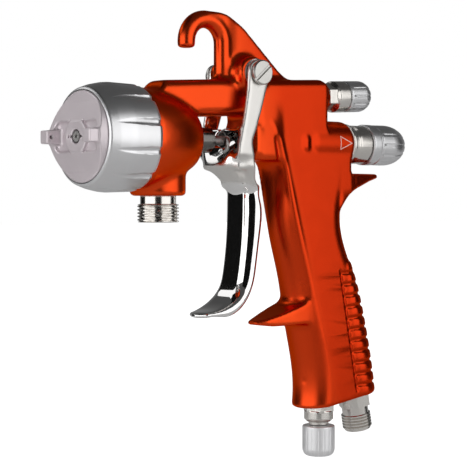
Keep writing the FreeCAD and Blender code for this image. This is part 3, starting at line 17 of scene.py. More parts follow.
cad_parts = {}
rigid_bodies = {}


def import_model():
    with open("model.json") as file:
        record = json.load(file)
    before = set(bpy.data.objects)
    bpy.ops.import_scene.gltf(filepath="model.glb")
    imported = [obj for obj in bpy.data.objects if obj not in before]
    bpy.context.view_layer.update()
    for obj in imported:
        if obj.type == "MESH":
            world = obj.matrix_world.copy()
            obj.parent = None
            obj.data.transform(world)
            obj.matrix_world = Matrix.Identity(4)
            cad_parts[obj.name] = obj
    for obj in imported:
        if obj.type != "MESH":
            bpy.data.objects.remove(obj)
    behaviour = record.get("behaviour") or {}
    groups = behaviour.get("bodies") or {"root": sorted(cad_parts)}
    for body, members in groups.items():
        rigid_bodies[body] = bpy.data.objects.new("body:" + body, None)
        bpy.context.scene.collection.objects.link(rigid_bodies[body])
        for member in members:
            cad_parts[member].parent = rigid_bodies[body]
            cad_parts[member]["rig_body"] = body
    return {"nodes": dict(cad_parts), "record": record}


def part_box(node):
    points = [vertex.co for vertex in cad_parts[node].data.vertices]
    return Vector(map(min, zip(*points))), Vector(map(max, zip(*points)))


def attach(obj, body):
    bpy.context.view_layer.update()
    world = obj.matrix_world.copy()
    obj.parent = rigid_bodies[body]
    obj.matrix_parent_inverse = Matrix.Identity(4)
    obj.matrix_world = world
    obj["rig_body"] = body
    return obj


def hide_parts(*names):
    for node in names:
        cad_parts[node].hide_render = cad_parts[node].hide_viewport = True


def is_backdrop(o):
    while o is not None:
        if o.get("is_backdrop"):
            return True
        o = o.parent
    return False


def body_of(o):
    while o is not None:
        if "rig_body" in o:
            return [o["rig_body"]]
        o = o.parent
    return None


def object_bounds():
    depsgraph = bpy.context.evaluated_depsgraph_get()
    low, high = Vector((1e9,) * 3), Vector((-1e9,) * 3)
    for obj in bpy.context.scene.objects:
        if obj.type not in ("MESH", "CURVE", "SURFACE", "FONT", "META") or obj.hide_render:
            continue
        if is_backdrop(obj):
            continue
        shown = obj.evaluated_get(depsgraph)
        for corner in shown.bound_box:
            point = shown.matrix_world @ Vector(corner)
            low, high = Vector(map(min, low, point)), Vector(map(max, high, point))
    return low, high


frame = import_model()
CAD_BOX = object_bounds()

bl_info = {
    "name": "Spray Gun Looks",
    "version": (1, 0, 0),
    "blender": (4, 5, 0),
    "location": "View3D > Sidebar > Spray Gun",
    "description": "Cast body, polished trigger, turned knobs and finishes of a spray gun",
    "category": "Object",
}

MM = 0.001
ALONG, UPRIGHT = (1.0, 0.0, 0.0), (0.0, 0.0, 1.0)
NEEDLE_Z = -40.0          # needle's axis
FAN_AXIS_Z = -23.0        # fan knob's axis where it crosses X = 0
FAN_TILT = 3.0            # degrees
FLUID_INLET_X = -23.9
FLUID_SEAT_Z = -62.8
AIR_SEAT = (85.3, -150.7)   # air inlet's seat in the foot, X and Z
AIR_TILT = 11.0           # degrees

# Body's bores on the needle's axis, and the plug that fills them for a while: start, end and radius.
BORES = ((18.0, 27.0, 6.0), (26.0, 34.0, 5.0), (33.0, 78.0, 7.5))
PLUG = (20.0, 76.5, 8.2)
# Groove and crest down the handle's side: their points and their radii.
GROOVE = ((31.2, -9.9, -39.0), (34.0, -10.6, -50.0), (37.2, -10.8, -61.0), (42.6, -11.3, -82.0),
          (47.6, -12.0, -99.0))
GROOVE_RADII = (1.0, 1.9, 2.2, 2.0, 0.9)
CREST = ((28.6, -9.3, -32.0), (33.9, -9.0, -40.5), (36.8, -8.9, -50.5), (39.7, -8.9, -61.0),
         (45.3, -8.9, -82.0), (50.5, -9.0, -101.5), (51.5, -9.0, -107.5))
CREST_RADII = (0.7, 0.9, 0.9, 0.9, 0.9, 0.8, 0.5)
# Round bump on the side, behind the air valve.
BUMP = ((48.6, -7.3, -38.9), (48.6, -7.3, -41.7))
BUMP_RADIUS = 2.6
HOOK_GROWTH = 0.55        # all round the hook's bar
PAD_TOP_Z = -92.0         # first pad on the grip's back
PAD_PITCH = 5.0
PAD_GAP = 4.25            # middle of a gap, from the top of its pad
PAD_GAP_DEPTH = 0.55
SADDLE = ((17.5, -6.0, -57.5), (17.5, 6.0, -57.5))   # core under the trigger's saddle
SADDLE_RADIUS = 3.0
BAR_HALF = 9.75           # half the width of the trigger's finger bar
BAR_WIDENING = 1.16
BAR_ARCH = 11.6           # radius across its front
BAR_BULGE = 1.3           # how far its middle stands out
BAR_BEVEL = 1.6           # depth of the bevels along its back


# ---- settings ------------------------------------------------------------------------------------
class CastingSettings(bpy.types.PropertyGroup):
    """Sizes of the cast body's rounded corners, in millimetres."""
    voxel: FloatProperty(name="Voxel", description="Grid that the cast surfaces are worked out on",
                         default=0.5, min=0.3, max=2.0)
    fillet: FloatProperty(name="Fillet", description="Radius between two cast forms",
                          default=2.6, min=0.0, max=5.0)
    fine_fillet: FloatProperty(name="Fine fillet", description="Radius in the grip's recesses",
                               default=0.6, min=0.0, max=2.0)
    edge: FloatProperty(name="Edge", description="Radius of an outer edge", default=0.9, min=0.0, max=3.0)
    fine_edge: FloatProperty(name="Fine edge", description="Radius of a thin form's outer edge",
                             default=0.35, min=0.0, max=1.0)
    triangles: IntProperty(name="Triangles", description="Most triangles in the body's skin",
                           default=180000, min=20000, max=198000)


def colour(name, description, default):
    """Property for a finish's colour."""
    return FloatVectorProperty(name=name, description=description, subtype="COLOR", size=3, default=default,
                               min=0.0, max=1.0)


class FinishSettings(bpy.types.PropertyGroup):
    """Colours of the finishes."""
    anodised: colour("Anodised", "Dyed and anodised body", (0.62, 0.036, 0.006))
    # Painted light: a lighter copy of the body's colour, painted on the front and the hook as if they were
    # lit more brightly.
    painted_light_front: colour("Anodised front", "Body's lighter front and hook", (0.80, 0.068, 0.012))
    satin: colour("Satin aluminium", "Turned ring and knobs", (0.80, 0.80, 0.81))
    cap: colour("Cap", "Matt air cap", (0.78, 0.71, 0.74))
    chrome: colour("Chrome", "Polished trigger", (0.87, 0.86, 0.85))
    nickel: colour("Nickel", "Plated fittings", (0.74, 0.71, 0.67))


class StageSettings(bpy.types.PropertyGroup):
    """Camera and floor."""
    azimuth: FloatProperty(name="Azimuth", description="Camera's direction round the gun",
                           default=math.radians(-40), subtype="ANGLE", unit="ROTATION")
    elevation: FloatProperty(name="Elevation", description="Camera's height angle",
                             default=math.radians(1.5), subtype="ANGLE", unit="ROTATION")
    distance: FloatProperty(name="Distance", description="From the camera to the point it looks at",
                            default=0.62, subtype="DISTANCE", unit="LENGTH", min=0.1)
    lens: FloatProperty(name="Lens", description="Focal length in millimetres", default=114.41, min=20.0)
    floor_drop: FloatProperty(name="Floor drop", description="From the gun's lowest point down to the floor",
                              default=0.09, subtype="DISTANCE", unit="LENGTH", min=0.0)


# ---- meshes and objects --------------------------------------------------------------------------
def placed(name, data):
    """Object for a mesh, a lamp or the camera, put into the scene."""
    thing = bpy.data.objects.new(name, data)
    bpy.context.collection.objects.link(thing)
    return thing


def made_plain(piece):
    """Puts a piece's evaluated mesh in place of its mesh and its modifiers."""
    graph = bpy.context.evaluated_depsgraph_get()
    mesh = bpy.data.meshes.new_from_object(piece.evaluated_get(graph))
    before = piece.data
    piece.modifiers.clear()
    piece.data = mesh
    bpy.data.meshes.remove(before)
    mesh.name = piece.name
    return mesh


def outward(mesh):
    """Turns the faces outwards if the closed mesh's volume comes out negative."""
    shape = bmesh.new()
    shape.from_mesh(mesh)
    if shape.calc_volume(signed=True) < 0:
        bmesh.ops.reverse_faces(shape, faces=shape.faces)
        shape.to_mesh(mesh)
    shape.free()


# ---- voxel surfaces ------------------------------------------------------------------------------
def node_mesh(node):
    """Corner points in millimetres and triangles of a CAD node's merged copy."""
    copy = bmesh.new()
    copy.from_mesh(frame["nodes"][node].data)
    bmesh.ops.remove_doubles(copy, verts=copy.verts, dist=1e-7)
    bmesh.ops.triangulate(copy, faces=copy.faces)
    points = np.array([vertex.co[:] for vertex in copy.verts], dtype=np.float32) / MM
    triangles = np.array([[vertex.index for vertex in face.verts] for face in copy.faces], dtype=np.uint32)
    copy.free()
    return points, triangles


class Field:
    """Distance to a closed surface on a regular grid, negative inside."""

    def __init__(self, points, faces, voxel, band, low=None, size=None):
        self.voxel = voxel
        self.band = band
        transform = openvdb.createLinearTransform(voxelSize=voxel)
        cells = band / voxel + 2
        kind = "quads" if faces.shape[1] == 4 else "triangles"
        grid = openvdb.FloatGrid.createLevelSetFromPolygons(points=points, transform=transform,
                                                            halfWidth=cells, **{kind: faces})
        if low is None:
            low = np.floor(points.min(axis=0) / voxel).astype(int) - int(cells) - 2
            high = np.ceil(points.max(axis=0) / voxel).astype(int) + int(cells) + 2
            size = high - low
        self.low = low
        self.size = size
        self.values = np.empty(tuple(size), dtype=np.float32)
        grid.copyToArray(self.values, ijk=tuple(int(index) for index in low))

    def axes(self):
        """X, Y and Z in millimetres, shaped for use with the grid's values."""
        lines = [(self.low[i] + np.arange(self.size[i], dtype=np.float32)) * self.voxel for i in range(3)]
        return lines[0][:, None, None], lines[1][None, :, None], lines[2][None, None, :]

    def surface(self, level=0.0):
        """Points and quads where the field has this value."""
        grid = openvdb.FloatGrid(float(self.values.max()))
        grid.transform = openvdb.createLinearTransform(voxelSize=self.voxel)
        grid.copyFromArray(self.values, ijk=tuple(int(index) for index in self.low))
        return grid.convertToQuads(isovalue=level)

    def offset(self, amount):
        """Moves the surface out by an amount and works the distances out again."""
        points, quads = self.surface(amount)
        moved = Field(points, quads, self.voxel, self.band, self.low, self.size)
        self.values = moved.values

    def fillet(self, radius):
        """Rounds the inner corners."""
        self.offset(radius)
        self.values = self.values + radius

    def round(self, radius):
        """Rounds the outer edges."""
        self.offset(-radius)
        self.values = self.values - radius

    def smooth(self, times):
        """Evens the values out over neighbouring cells."""
        for axis in (0, 1, 2) * times:
            before = np.roll(self.values, 1, axis)
            after = np.roll(self.values, -1, axis)
            self.values = 0.5 * self.values + 0.25 * (before + after)

    def copy(self):
        """Another field with the same grid and values."""
        twin = Field.__new__(Field)
        twin.__dict__.update(self.__dict__, values=self.values.copy())
        return twin

    def mix(self, other, share):
        """Goes over to another field's values where the share is 1."""
        self.values = self.values * (1 - share) + other.values * share

    def spread(self, share):
        """Values of the same form made wider along Y."""
        count = self.values.shape[1]
        place = np.clip((np.arange(count) + self.low[1]) / share - self.low[1], 0, count - 1)
        cell = np.minimum(place.astype(int), count - 2)
        part = (place - cell).astype(np.float32)[None, :, None]
        return self.values[:, cell, :] * (1 - part) + self.values[:, cell + 1, :] * part

    def moved(self, shifts):
        """Values of the same form moved towards +X, by a distance for each column along Y."""
        moved = np.empty_like(self.values)
        last = self.values.shape[0] - 1
        for column, shift in enumerate(shifts / self.voxel):
            place = np.clip(np.arange(last + 1) - shift, 0, last)
            cell = np.minimum(place.astype(int), last - 1)
            part = (place - cell).astype(np.float32)[:, None]
            sheet = self.values[:, column, :]
            moved[:, column, :] = sheet[cell] * (1 - part) + sheet[cell + 1] * part
        return moved

    def sample(self, points):
        """Values between the grid's cells."""
        place = points / self.voxel - self.low
        cell = np.clip(np.floor(place).astype(int), 0, self.size - 2)
        part = (place - cell).astype(np.float32)
        total = np.zeros(len(points), dtype=np.float32)
        for corner in range(8):
            step = np.array([corner & 1, corner >> 1 & 1, corner >> 2 & 1])
            share = np.prod(np.where(step, part, 1 - part), axis=1)
            index = cell + step
            total += share * self.values[index[:, 0], index[:, 1], index[:, 2]]
        return total

    def slope(self, points):
        """Unit direction in which the field grows."""
        step = self.voxel * 0.75
        slopes = []
        for axis in range(3):
            shift = np.zeros(3, dtype=np.float32)
            shift[axis] = step
            slopes.append(self.sample(points + shift) - self.sample(points - shift))
        slope = np.stack(slopes, axis=1)
        return slope / np.maximum(np.linalg.norm(slope, axis=1, keepdims=True), 1e-9)


def union(first, second, blend):
    """Two fields joined with a soft seam."""
    share = np.clip(0.5 + 0.5 * (second - first) / blend, 0, 1)
    return second * (1 - share) + first * share - blend * share * (1 - share)


def carve(first, tool, blend):
    """A field with another cut away from it."""
    return -union(-first, tool, blend)


def run(axes, points, radii):
    """Distance to a rounded rod through points, whose radius changes along it."""
    x, y, z = axes
    nearest = None
    for start, end, first, last in zip(points, points[1:], radii, radii[1:]):
        along = [end[i] - start[i] for i in range(3)]
        length = sum(value * value for value in along)
        share = ((x - start[0]) * along[0] + (y - start[1]) * along[1] + (z - start[2]) * along[2]) / length
        share = np.clip(share, 0, 1)
        gap = np.sqrt((x - start[0] - share * along[0]) ** 2 + (y - start[1] - share * along[1]) ** 2
                      + (z - start[2] - share * along[2]) ** 2)
        gap = gap - (first + share * (last - first))
        nearest = gap if nearest is None else np.minimum(nearest, gap)
    return nearest


def barrel(axes, start, end, radius):
    """Distance to a cylinder on the needle's axis."""
    x, y, z = axes
    around = np.sqrt(y * y + (z - NEEDLE_Z) ** 2) - radius
    return np.maximum(around, np.abs(x - (start + end) / 2) - (end - start) / 2)


def ramp(values, start, end):
    """0 before start, 1 after end, smooth between."""
    share = np.clip((values - start) / (end - start), 0, 1)
    return share * share * (3 - 2 * share)


def skin(name, field, triangles):
    """Mesh object on a field's surface, thinned to a number of triangles, with the field's own normals."""
    points, quads = field.surface()
    mesh = bpy.data.meshes.new(name)
    mesh.from_pydata(points.tolist(), [], quads.tolist())
    piece = placed(name, mesh)
    if 2 * len(quads) > triangles:
        thin = piece.modifiers.new("thin", "DECIMATE")
        thin.ratio = triangles / (2 * len(quads))
        thin.use_collapse_triangulate = True
        mesh = made_plain(piece)
    points = np.empty(len(mesh.vertices) * 3, dtype=np.float32)
    mesh.vertices.foreach_get("co", points)
    points = points.reshape(-1, 3)
    for _ in range(2):
        points = points - field.slope(points) * np.clip(field.sample(points), -0.3, 0.3)[:, None]
    normals = field.slope(points)
    mesh.vertices.foreach_set("co", (points * MM).ravel())
    mesh.update()
    outward(mesh)
    mesh.shade_smooth()
    mesh.normals_split_custom_set_from_vertices(normals.tolist())
    return piece


def mirrored(axes):
    """The grid's axes folded onto the side of -Y."""
    x, y, z = axes
    return x, -np.abs(y), z


# ---- turned blanks -------------------------------------------------------------------------------
def rounded(outline, radius, steps=4):
    """An outline of (x, r) points with its corners rounded."""
    result = [outline[0]]
    for before, corner, after in zip(outline, outline[1:], outline[2:]):
        before, corner, after = (np.array(point[:2], dtype=float) for point in (before, corner, after))
        back, ahead = before - corner, after - corner
        reach = min(radius, np.linalg.norm(back) * 0.45, np.linalg.norm(ahead) * 0.45)
        start = corner + back / np.linalg.norm(back) * reach
        end = corner + ahead / np.linalg.norm(ahead) * reach
        for step in range(steps + 1):
            share = step / steps
            curve = (1 - share) ** 2 * start + 2 * share * (1 - share) * corner + share ** 2 * end
            result.append(tuple(curve))
    result.append(outline[-1])
    return result


def spaced(outline, spacing):
    """An outline with its long lines divided."""
    result = [outline[0]]
    for start, end in zip(outline, outline[1:]):
        length = math.dist(start, end)
        parts = max(1, math.ceil(length / spacing))
        for part in range(1, parts + 1):
            share = part / parts
            result.append((start[0] + (end[0] - start[0]) * share, start[1] + (end[1] - start[1]) * share))
    return result


def blank(name, outline, segments, closed=False):
    """Mesh turned round the X axis; the outline's ends lie on the axis, or it is a closed loop."""
    shape = bmesh.new()
    rings = []
    for along, radius in outline[:-1] if closed else outline:
        if radius < 1e-6:
            rings.append([shape.verts.new((along, 0, 0))])
            continue
        ring = []
        for step in range(segments):
            angle = 2 * math.pi * step / segments
            ring.append(shape.verts.new((along, radius * math.cos(angle), radius * math.sin(angle))))
        rings.append(ring)
    pairs = list(zip(rings, rings[1:]))
    if closed:
        pairs.append((rings[-1], rings[0]))
    for first, second in pairs:
        for step in range(segments):
            after = (step + 1) % segments
            corners = [first[step % len(first)], second[step % len(second)]]
            if len(second) > 1:
                corners.append(second[after])
            if len(first) > 1:
                corners.append(first[after])
            shape.faces.new(corners)
    mesh = bpy.data.meshes.new(name)
    shape.to_mesh(mesh)
    shape.free()
    outward(mesh)
    return placed(name, mesh)


class Tree:
    """Short hand for building a node tree."""

    def __init__(self, tree):
        self.tree = tree

    def node(self, kind, settings=None, **inputs):
        count = len(self.tree.nodes)
        made = self.tree.nodes.new(kind)
        made.location = (count % 8 * 220, -(count // 8) * 320)
        for name, value in (settings or {}).items():
            setattr(made, name, value)
        for name, value in inputs.items():
            key = int(name[1:]) if name[1:].isdigit() else name.replace("_", " ")
            self.feed(made.inputs[key], value)
        return made

    def feed(self, socket, value):
        value = value.socket if isinstance(value, Value) else value
        if isinstance(value, bpy.types.NodeSocket):
            self.tree.links.new(value, socket)
        else:
            socket.default_value = value

    def math(self, operation, *values, clamp=False):
        made = self.node("ShaderNodeMath", {"operation": operation, "use_clamp": clamp})
        for socket, value in zip(made.inputs, values):
            self.feed(socket, value)
        return Value(self, made.outputs[0])

    def range(self, value, start, end, low=0.0, high=1.0):
        """Low before start and high after end, where start may lie above end."""
        made = self.node("ShaderNodeMapRange", Value=value, From_Min=start, From_Max=end, To_Min=low,
                         To_Max=high)
        return Value(self, made.outputs[0])

    def parts(self, vector):
        """X, Y and Z of a vector."""
        return [Value(self, part) for part in self.node("ShaderNodeSeparateXYZ", Vector=vector).outputs]

    def place(self):
        """The object's own coordinates."""
        return self.node("ShaderNodeTexCoord").outputs["Object"]

    def port(self, name, kind, default=None, out=False):
        made = self.tree.interface.new_socket(name, in_out="OUTPUT" if out else "INPUT", socket_type=kind)
        if default is not None:
            made.default_value = default
        return made


class Value:
    """A socket's number. Reckoning with it adds math nodes to its tree."""

    def __init__(self, make, socket):
        self.make = make
        self.socket = socket

    def step(self, operation, *others, clamp=False):
        return self.make.math(operation, self, *others, clamp=clamp)

    def __add__(self, other):
        return self.step("ADD", other)

    def __sub__(self, other):
        return self.step("SUBTRACT", other)

    def __rsub__(self, other):
        return self.make.math("SUBTRACT", other, self)

    def __mul__(self, other):
        return self.step("MULTIPLY", other)

    def __truediv__(self, other):
        return self.step("DIVIDE", other)

    def __rtruediv__(self, other):
        return self.make.math("DIVIDE", other, self)

    def most(self, other):
        return self.step("MAXIMUM", other)

    def clamped(self, scale):
        """This number times a scale, held between 0 and 1."""
        return self.step("MULTIPLY", scale, clamp=True)


def machining_tree():
    """Geometry nodes that cut long flutes, flats and a screw thread into a turned blank."""
    tree = bpy.data.node_groups.new("Machining", "GeometryNodeTree")
    make = Tree(tree)
    make.port("Geometry", "NodeSocketGeometry")
    sizes = {"Flutes": 12, "Flute Depth": 0.0, "Cutter Radius": 1.6, "Flute Start": 0.0, "Run In": 3.0,
             "Flute End": 100.0, "Flute Phase": 0.0, "Flats": 6, "Flat Distance": 50.0, "Flats Start": 0.0,
             "Flats End": 100.0, "Thread Depth": 0.0, "Thread Pitch": 1.3, "Thread Start": 0.0,
             "Thread End": 100.0}
    for name, value in sizes.items():
        make.port(name, "NodeSocketInt" if isinstance(value, int) else "NodeSocketFloat", value)
    make.port("Material", "NodeSocketMaterial")
    make.port("Geometry", "NodeSocketGeometry", out=True)
    given = make.node("NodeGroupInput").outputs
    size = {name: Value(make, given[name]) for name in sizes}
    along, across, up = make.parts(make.node("GeometryNodeInputPosition").outputs[0])
    radius = (across * across + up * up).step("SQRT")
    angle = up.step("ARCTAN2", across)

    def sector(count, phase):
        """Angle from the middle of the nearest of equal sectors."""
        half = math.pi / count
        return (angle - phase).step("WRAP", half, half * -1.0)

    # Flutes: a round cutter run along the blank.
    beside = radius * sector(size["Flutes"], size["Flute Phase"]).step("SINE")
    ahead = (along - size["Flute Start"]).step("DIVIDE", size["Run In"], clamp=True)
    depth = size["Flute Depth"] * along.step("LESS_THAN", size["Flute End"]) * ahead
    cutter = size["Cutter Radius"]
    reach = (cutter * cutter - beside * beside).most(0.0).step("SQRT")
    radial = radius - (reach - (cutter - depth)).most(0.0)
    # Flats: outside their stretch they lie far off.
    flat = size["Flat Distance"] / sector(size["Flats"], 0.0).step("COSINE")
    inside = along.step("GREATER_THAN", size["Flats Start"]) * along.step("LESS_THAN", size["Flats End"])
    radial = radial.step("MINIMUM", flat + (1.0 - inside) * 100.0)
    # Thread: flat crests and roots, run out at both ends.
    turns = along / size["Thread Pitch"] + angle / (2 * math.pi)
    root = (turns.step("PINGPONG", 0.5) * 2.0 - 0.3).clamped(2.6)
    ends = (along - size["Thread Start"]).clamped(2.5) * (size["Thread End"] - along).clamped(4.0)
    radial = radial - root * size["Thread Depth"] * ends
    share = radial / radius.most(0.0001)
    moved = make.node("ShaderNodeCombineXYZ", X=along, Y=across * share, Z=up * share).outputs[0]
    shaped = make.node("GeometryNodeSetPosition", Geometry=given["Geometry"], Position=moved).outputs[0]
    real = make.node("GeometryNodeRealizeInstances", Geometry=shaped).outputs[0]
    dressed = make.node("GeometryNodeSetMaterial", Geometry=real, Material=given["Material"]).outputs[0]
    make.node("NodeGroupOutput", Geometry=dressed)
    return tree


def machined(piece, material, axis, **sizes):
    """Runs the machining tree on a blank, makes the result plain, and puts it on its axis."""
    tree = bpy.data.node_groups.get("Machining") or machining_tree()
    modifier = piece.modifiers.new("machining", "NODES")
    modifier.node_group = tree
    sockets = {item.name: item.identifier for item in tree.interface.items_tree if item.in_out == "INPUT"}
    for name, value in sizes.items():
        modifier[sockets[name.replace("_", " ").title()]] = value
    modifier[sockets["Material"]] = material
    mesh = made_plain(piece)
    mesh.transform(Matrix.Scale(MM, 4) @ axis)
    outward(mesh)
    mesh.shade_smooth()
    mesh.set_sharp_from_angle(angle=math.radians(32))
    return piece


def axis_at(x, z, tilt=0.0):
    """Places a piece turned along X at a point of the gun's middle plane, tilted down by degrees."""
    return Matrix.Translation((x, 0, z)) @ Matrix.Rotation(math.radians(tilt), 4, "Y")


# ---- finishes ------------------------------------------------------------------------------------
def effect(make, name, build, **values):
    """A shader node group in a material, built when it is first asked for."""
    group = bpy.data.node_groups.get(name)
    if group is None:
        group = bpy.data.node_groups.new(name, "ShaderNodeTree")
        build(Tree(group))
    return make.node("ShaderNodeGroup", {"node_tree": group}, **values)


def build_grain(make):
    """Fine grain of a blasted or cast surface, and a slow patchy mask."""
    make.port("Size", "NodeSocketFloat", 0.6)
    make.port("Patch Size", "NodeSocketFloat", 14.0)
    make.port("Height", "NodeSocketFloat", out=True)
    make.port("Patches", "NodeSocketFloat", out=True)
    given = make.node("NodeGroupInput").outputs
    place = make.place()
    fine = make.node("ShaderNodeTexNoise", Vector=place, Scale=make.math("DIVIDE", 1000.0, given["Size"]),
                     Detail=2.0).outputs[0]
    slow = make.node("ShaderNodeTexNoise", Vector=place, Detail=3.0,
                     Scale=make.math("DIVIDE", 1000.0, given["Patch Size"])).outputs[0]
    make.node("NodeGroupOutput", Height=fine, Patches=make.range(slow, 0.35, 0.65))


def build_turning(make):
    """Fine circular tool marks square to an axis."""
    make.port("Axis", "NodeSocketVector", ALONG)
    make.port("Pitch", "NodeSocketFloat", 0.25)
    make.port("Height", "NodeSocketFloat", out=True)
    given = make.node("NodeGroupInput").outputs
    along = make.node("ShaderNodeVectorMath", {"operation": "DOT_PRODUCT"}, _0=make.place(),
                      _1=given["Axis"]).outputs[1]
    marks = make.node("ShaderNodeTexNoise", {"noise_dimensions": "1D"}, Scale=1.0, Detail=3.0,
                      W=Value(make, along) * 1000.0 / given["Pitch"]).outputs[0]
    make.node("NodeGroupOutput", Height=marks)


def build_handling(make):
    """Roughness of a handled surface: faint smears and a few hairline marks."""
    make.port("Roughness", "NodeSocketFloat", 0.3)
    make.port("Amount", "NodeSocketFloat", 0.05)
    make.port("Roughness", "NodeSocketFloat", out=True)
    given = make.node("NodeGroupInput").outputs
    place = make.place()
    smear = make.node("ShaderNodeTexNoise", Vector=place, Scale=70.0, Detail=4.0, Distortion=0.8).outputs[0]
    hair = make.node("ShaderNodeTexNoise", Vector=place, Scale=900.0, Detail=1.0).outputs[0]
    mixed = (Value(make, smear) - 0.5) + (Value(make, hair) - 0.5) * 0.3
    spread = mixed * (Value(make, given["Amount"]) * 2.0)
    make.node("NodeGroupOutput", Roughness=make.math("ADD", given["Roughness"], spread, clamp=True))


def bare(name):
    """New material without nodes, and the short hand for its tree."""
    material = bpy.data.materials.new(name)
    material.use_nodes = True
    material.node_tree.nodes.clear()
    return material, Tree(material.node_tree)


def tinted(make, mask, low, high):
    """Colour between two by a mask."""
    mix = make.node("ShaderNodeMix", {"data_type": "RGBA"})
    for socket, value in zip((0, 6, 7), (mask, (*low, 1.0), (*high, 1.0))):
        make.feed(mix.inputs[socket], value)
    return mix.outputs[2]


def shade(colour, amount):
    """A colour made darker or lighter."""
    return tuple(min(1.0, channel * amount) for channel in colour)


def metal(name, colour, roughness, grain=0.6, bump=0.004, turning=None, pitch=0.25, uneven=0.05, vary=0.94,
          metallic=1.0, edge=(1.0, 1.0, 1.0)):
    """Metal finish: grain or tool marks in its relief, smears in its gloss, and slow changes of colour."""
    material, make = bare(name)
    shader = make.node("ShaderNodeBsdfPrincipled")
    grained = effect(make, "Grain", build_grain, Size=grain)
    height = grained.outputs["Height"]
    if turning is not None:
        turned = effect(make, "Turning Marks", build_turning, Axis=turning, Pitch=pitch)
        height = turned.outputs["Height"]
    handled = effect(make, "Handling", build_handling, Roughness=roughness, Amount=uneven)
    raised = make.node("ShaderNodeBump", Strength=1.0, Distance=bump * MM, Height=height)
    links = {"Base Color": tinted(make, grained.outputs["Patches"], shade(colour, vary), colour),
             "Roughness": handled.outputs[0], "Normal": raised.outputs[0], "Metallic": metallic,
             "Specular Tint": (*edge, 1.0)}
    for socket, value in links.items():
        make.feed(shader.inputs[socket], value)
    make.node("ShaderNodeOutputMaterial", Surface=shader.outputs[0])
    return material


def plastic(name, colour, roughness):
    """Seal or soft part: not metal, faintly grained."""
    return metal(name, colour, roughness, grain=0.9, bump=0.01, metallic=0.0, uneven=0.08, vary=0.9)


def found(material, kind):
    """First node of a kind in a material."""
    return next(node for node in material.node_tree.nodes if node.type == kind)


def dye_and_painted_light(name, rear, front):
    """Body's dye, redder to the rear, with painted light: a lighter orange is painted towards the front and
    the hook, as if the lamps lit them more brightly.
    """
    material = metal(name, rear, 0.3, grain=0.5, bump=0.006, vary=0.93, edge=(1.0, 0.5, 0.35))
    make = Tree(material.node_tree)
    behind = make.node("ShaderNodeVectorMath", {"operation": "DOT_PRODUCT"}, _0=make.place(),
                       _1=(1.0, 0.0, 0.25)).outputs[1]
    # Painted light: mask that is 1 towards the front and the hook, where the lighter colour is painted in.
    ahead = make.range(behind, 0.030, 0.012)
    make.feed(found(material, "BSDF_PRINCIPLED").inputs["Base Color"], tinted(make, ahead, rear, front))
    return material


def polished_trigger(name, colour):
    """Trigger's plating: mirror bright on the finger bar, satin on the arms and the saddle."""
    material = metal(name, colour, 0.3, grain=1.2, bump=0.002, uneven=0.03, vary=0.97)
    make = Tree(material.node_tree)
    shader = found(material, "BSDF_PRINCIPLED")
    handled = next(node for node in material.node_tree.nodes
                   if node.type == "GROUP" and "Amount" in node.inputs)
    ahead, beside, up = make.parts(make.place())
    above = make.range(up + ahead * 0.25, -0.0545, -0.0535)
    outer = make.range(beside.step("ABSOLUTE"), 0.0118, 0.0124)
    low = make.range(up, -0.0475, -0.0505)
    satin = above * outer.most(low)
    make.feed(shader.inputs["Base Color"], tinted(make, satin, colour, (0.74, 0.72, 0.69)))
    make.feed(handled.inputs["Roughness"], make.range(satin, 0.0, 1.0, 0.04, 0.36))
    return material


def finish(name):
    """A finish by name, made when it is first asked for."""
    if name in bpy.data.materials:
        return bpy.data.materials[name]
    look = bpy.context.scene.spray_gun_finish
    if name == "Anodised Body":
        # The body's dye, with painted light on its front and hook.
        return dye_and_painted_light(name, look.anodised, look.painted_light_front)
    if name == "Trigger":
        return polished_trigger(name, look.chrome)
    if name == "Seal":
        return plastic(name, (0.82, 0.80, 0.75), 0.5)
    turned = {"turning": ALONG, "bump": 0.002}
    recipes = {
        "Satin Ring": (look.satin, 0.32, {"turning": ALONG, "pitch": 0.22, "bump": 0.0015, "uneven": 0.02}),
        "Satin Knob": (look.satin, 0.32, {"turning": ALONG, "pitch": 0.3, "bump": 0.003, "uneven": 0.04}),
        "Satin Foot Knob": (shade(look.satin, 1.18), 0.5,
                            {"turning": UPRIGHT, "pitch": 0.3, "bump": 0.002, "uneven": 0.04}),
        "Air Cap": (look.cap, 0.5, {"grain": 0.35, "bump": 0.008, "uneven": 0.04, "vary": 0.95,
                                    "metallic": 0.78}),
        "Nickel": (look.nickel, 0.16, {"turning": UPRIGHT, "pitch": 0.3, "bump": 0.002}),
        "Nickel Housing": (look.nickel, 0.2, {**turned, "pitch": 0.3}),
        "Stainless": ((0.66, 0.65, 0.63), 0.4, {**turned, "pitch": 0.2}),
        "Brushed Screw": ((0.62, 0.61, 0.58), 0.34, {"grain": 0.4, "uneven": 0.08}),
        "Brass": ((0.78, 0.56, 0.25), 0.25, turned),
        "Blackened Nut": ((0.16, 0.15, 0.14), 0.2, turned),
        "Spring Wire": ((0.5, 0.5, 0.5), 0.3, {"grain": 0.3, "bump": 0.002}),
        "Index Mark": ((0.95, 0.62, 0.55), 0.5, {"grain": 0.2, "bump": 0.003, "metallic": 0.0}),
    }
    colour, roughness, rest = recipes[name]
    return metal(name, colour, roughness, **rest)


# Finish of each material slot, and of the nodes that have one of their own.
SLOT_FINISH = {"paint": "Anodised Body", "polished_aluminium": "Satin Ring", "cap_aluminium": "Air Cap",
               "knob_aluminium": "Satin Knob", "polished_steel": "Trigger", "stainless": "Stainless",
               "nickel": "Nickel", "brass": "Brass", "spring_steel": "Spring Wire", "seal": "Seal"}
NODE_FINISH = {"needle_housing": "Nickel Housing", "fan_valve_housing": "Nickel Housing",
               "needle_packing_nut": "Blackened Nut", "pivot_screw": "Brushed Screw",
               "pivot_pin": "Brushed Screw"}


def dress(thing, material):
    """Gives a piece this one material."""
    thing.data.materials.clear()
    thing.data.materials.append(material)


def stand_for(piece, slot, *nodes):
    """The piece rides with these CAD nodes' body and takes their place."""
    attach(piece, body_of(frame["nodes"][nodes[0]])[0])
    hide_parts(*nodes)


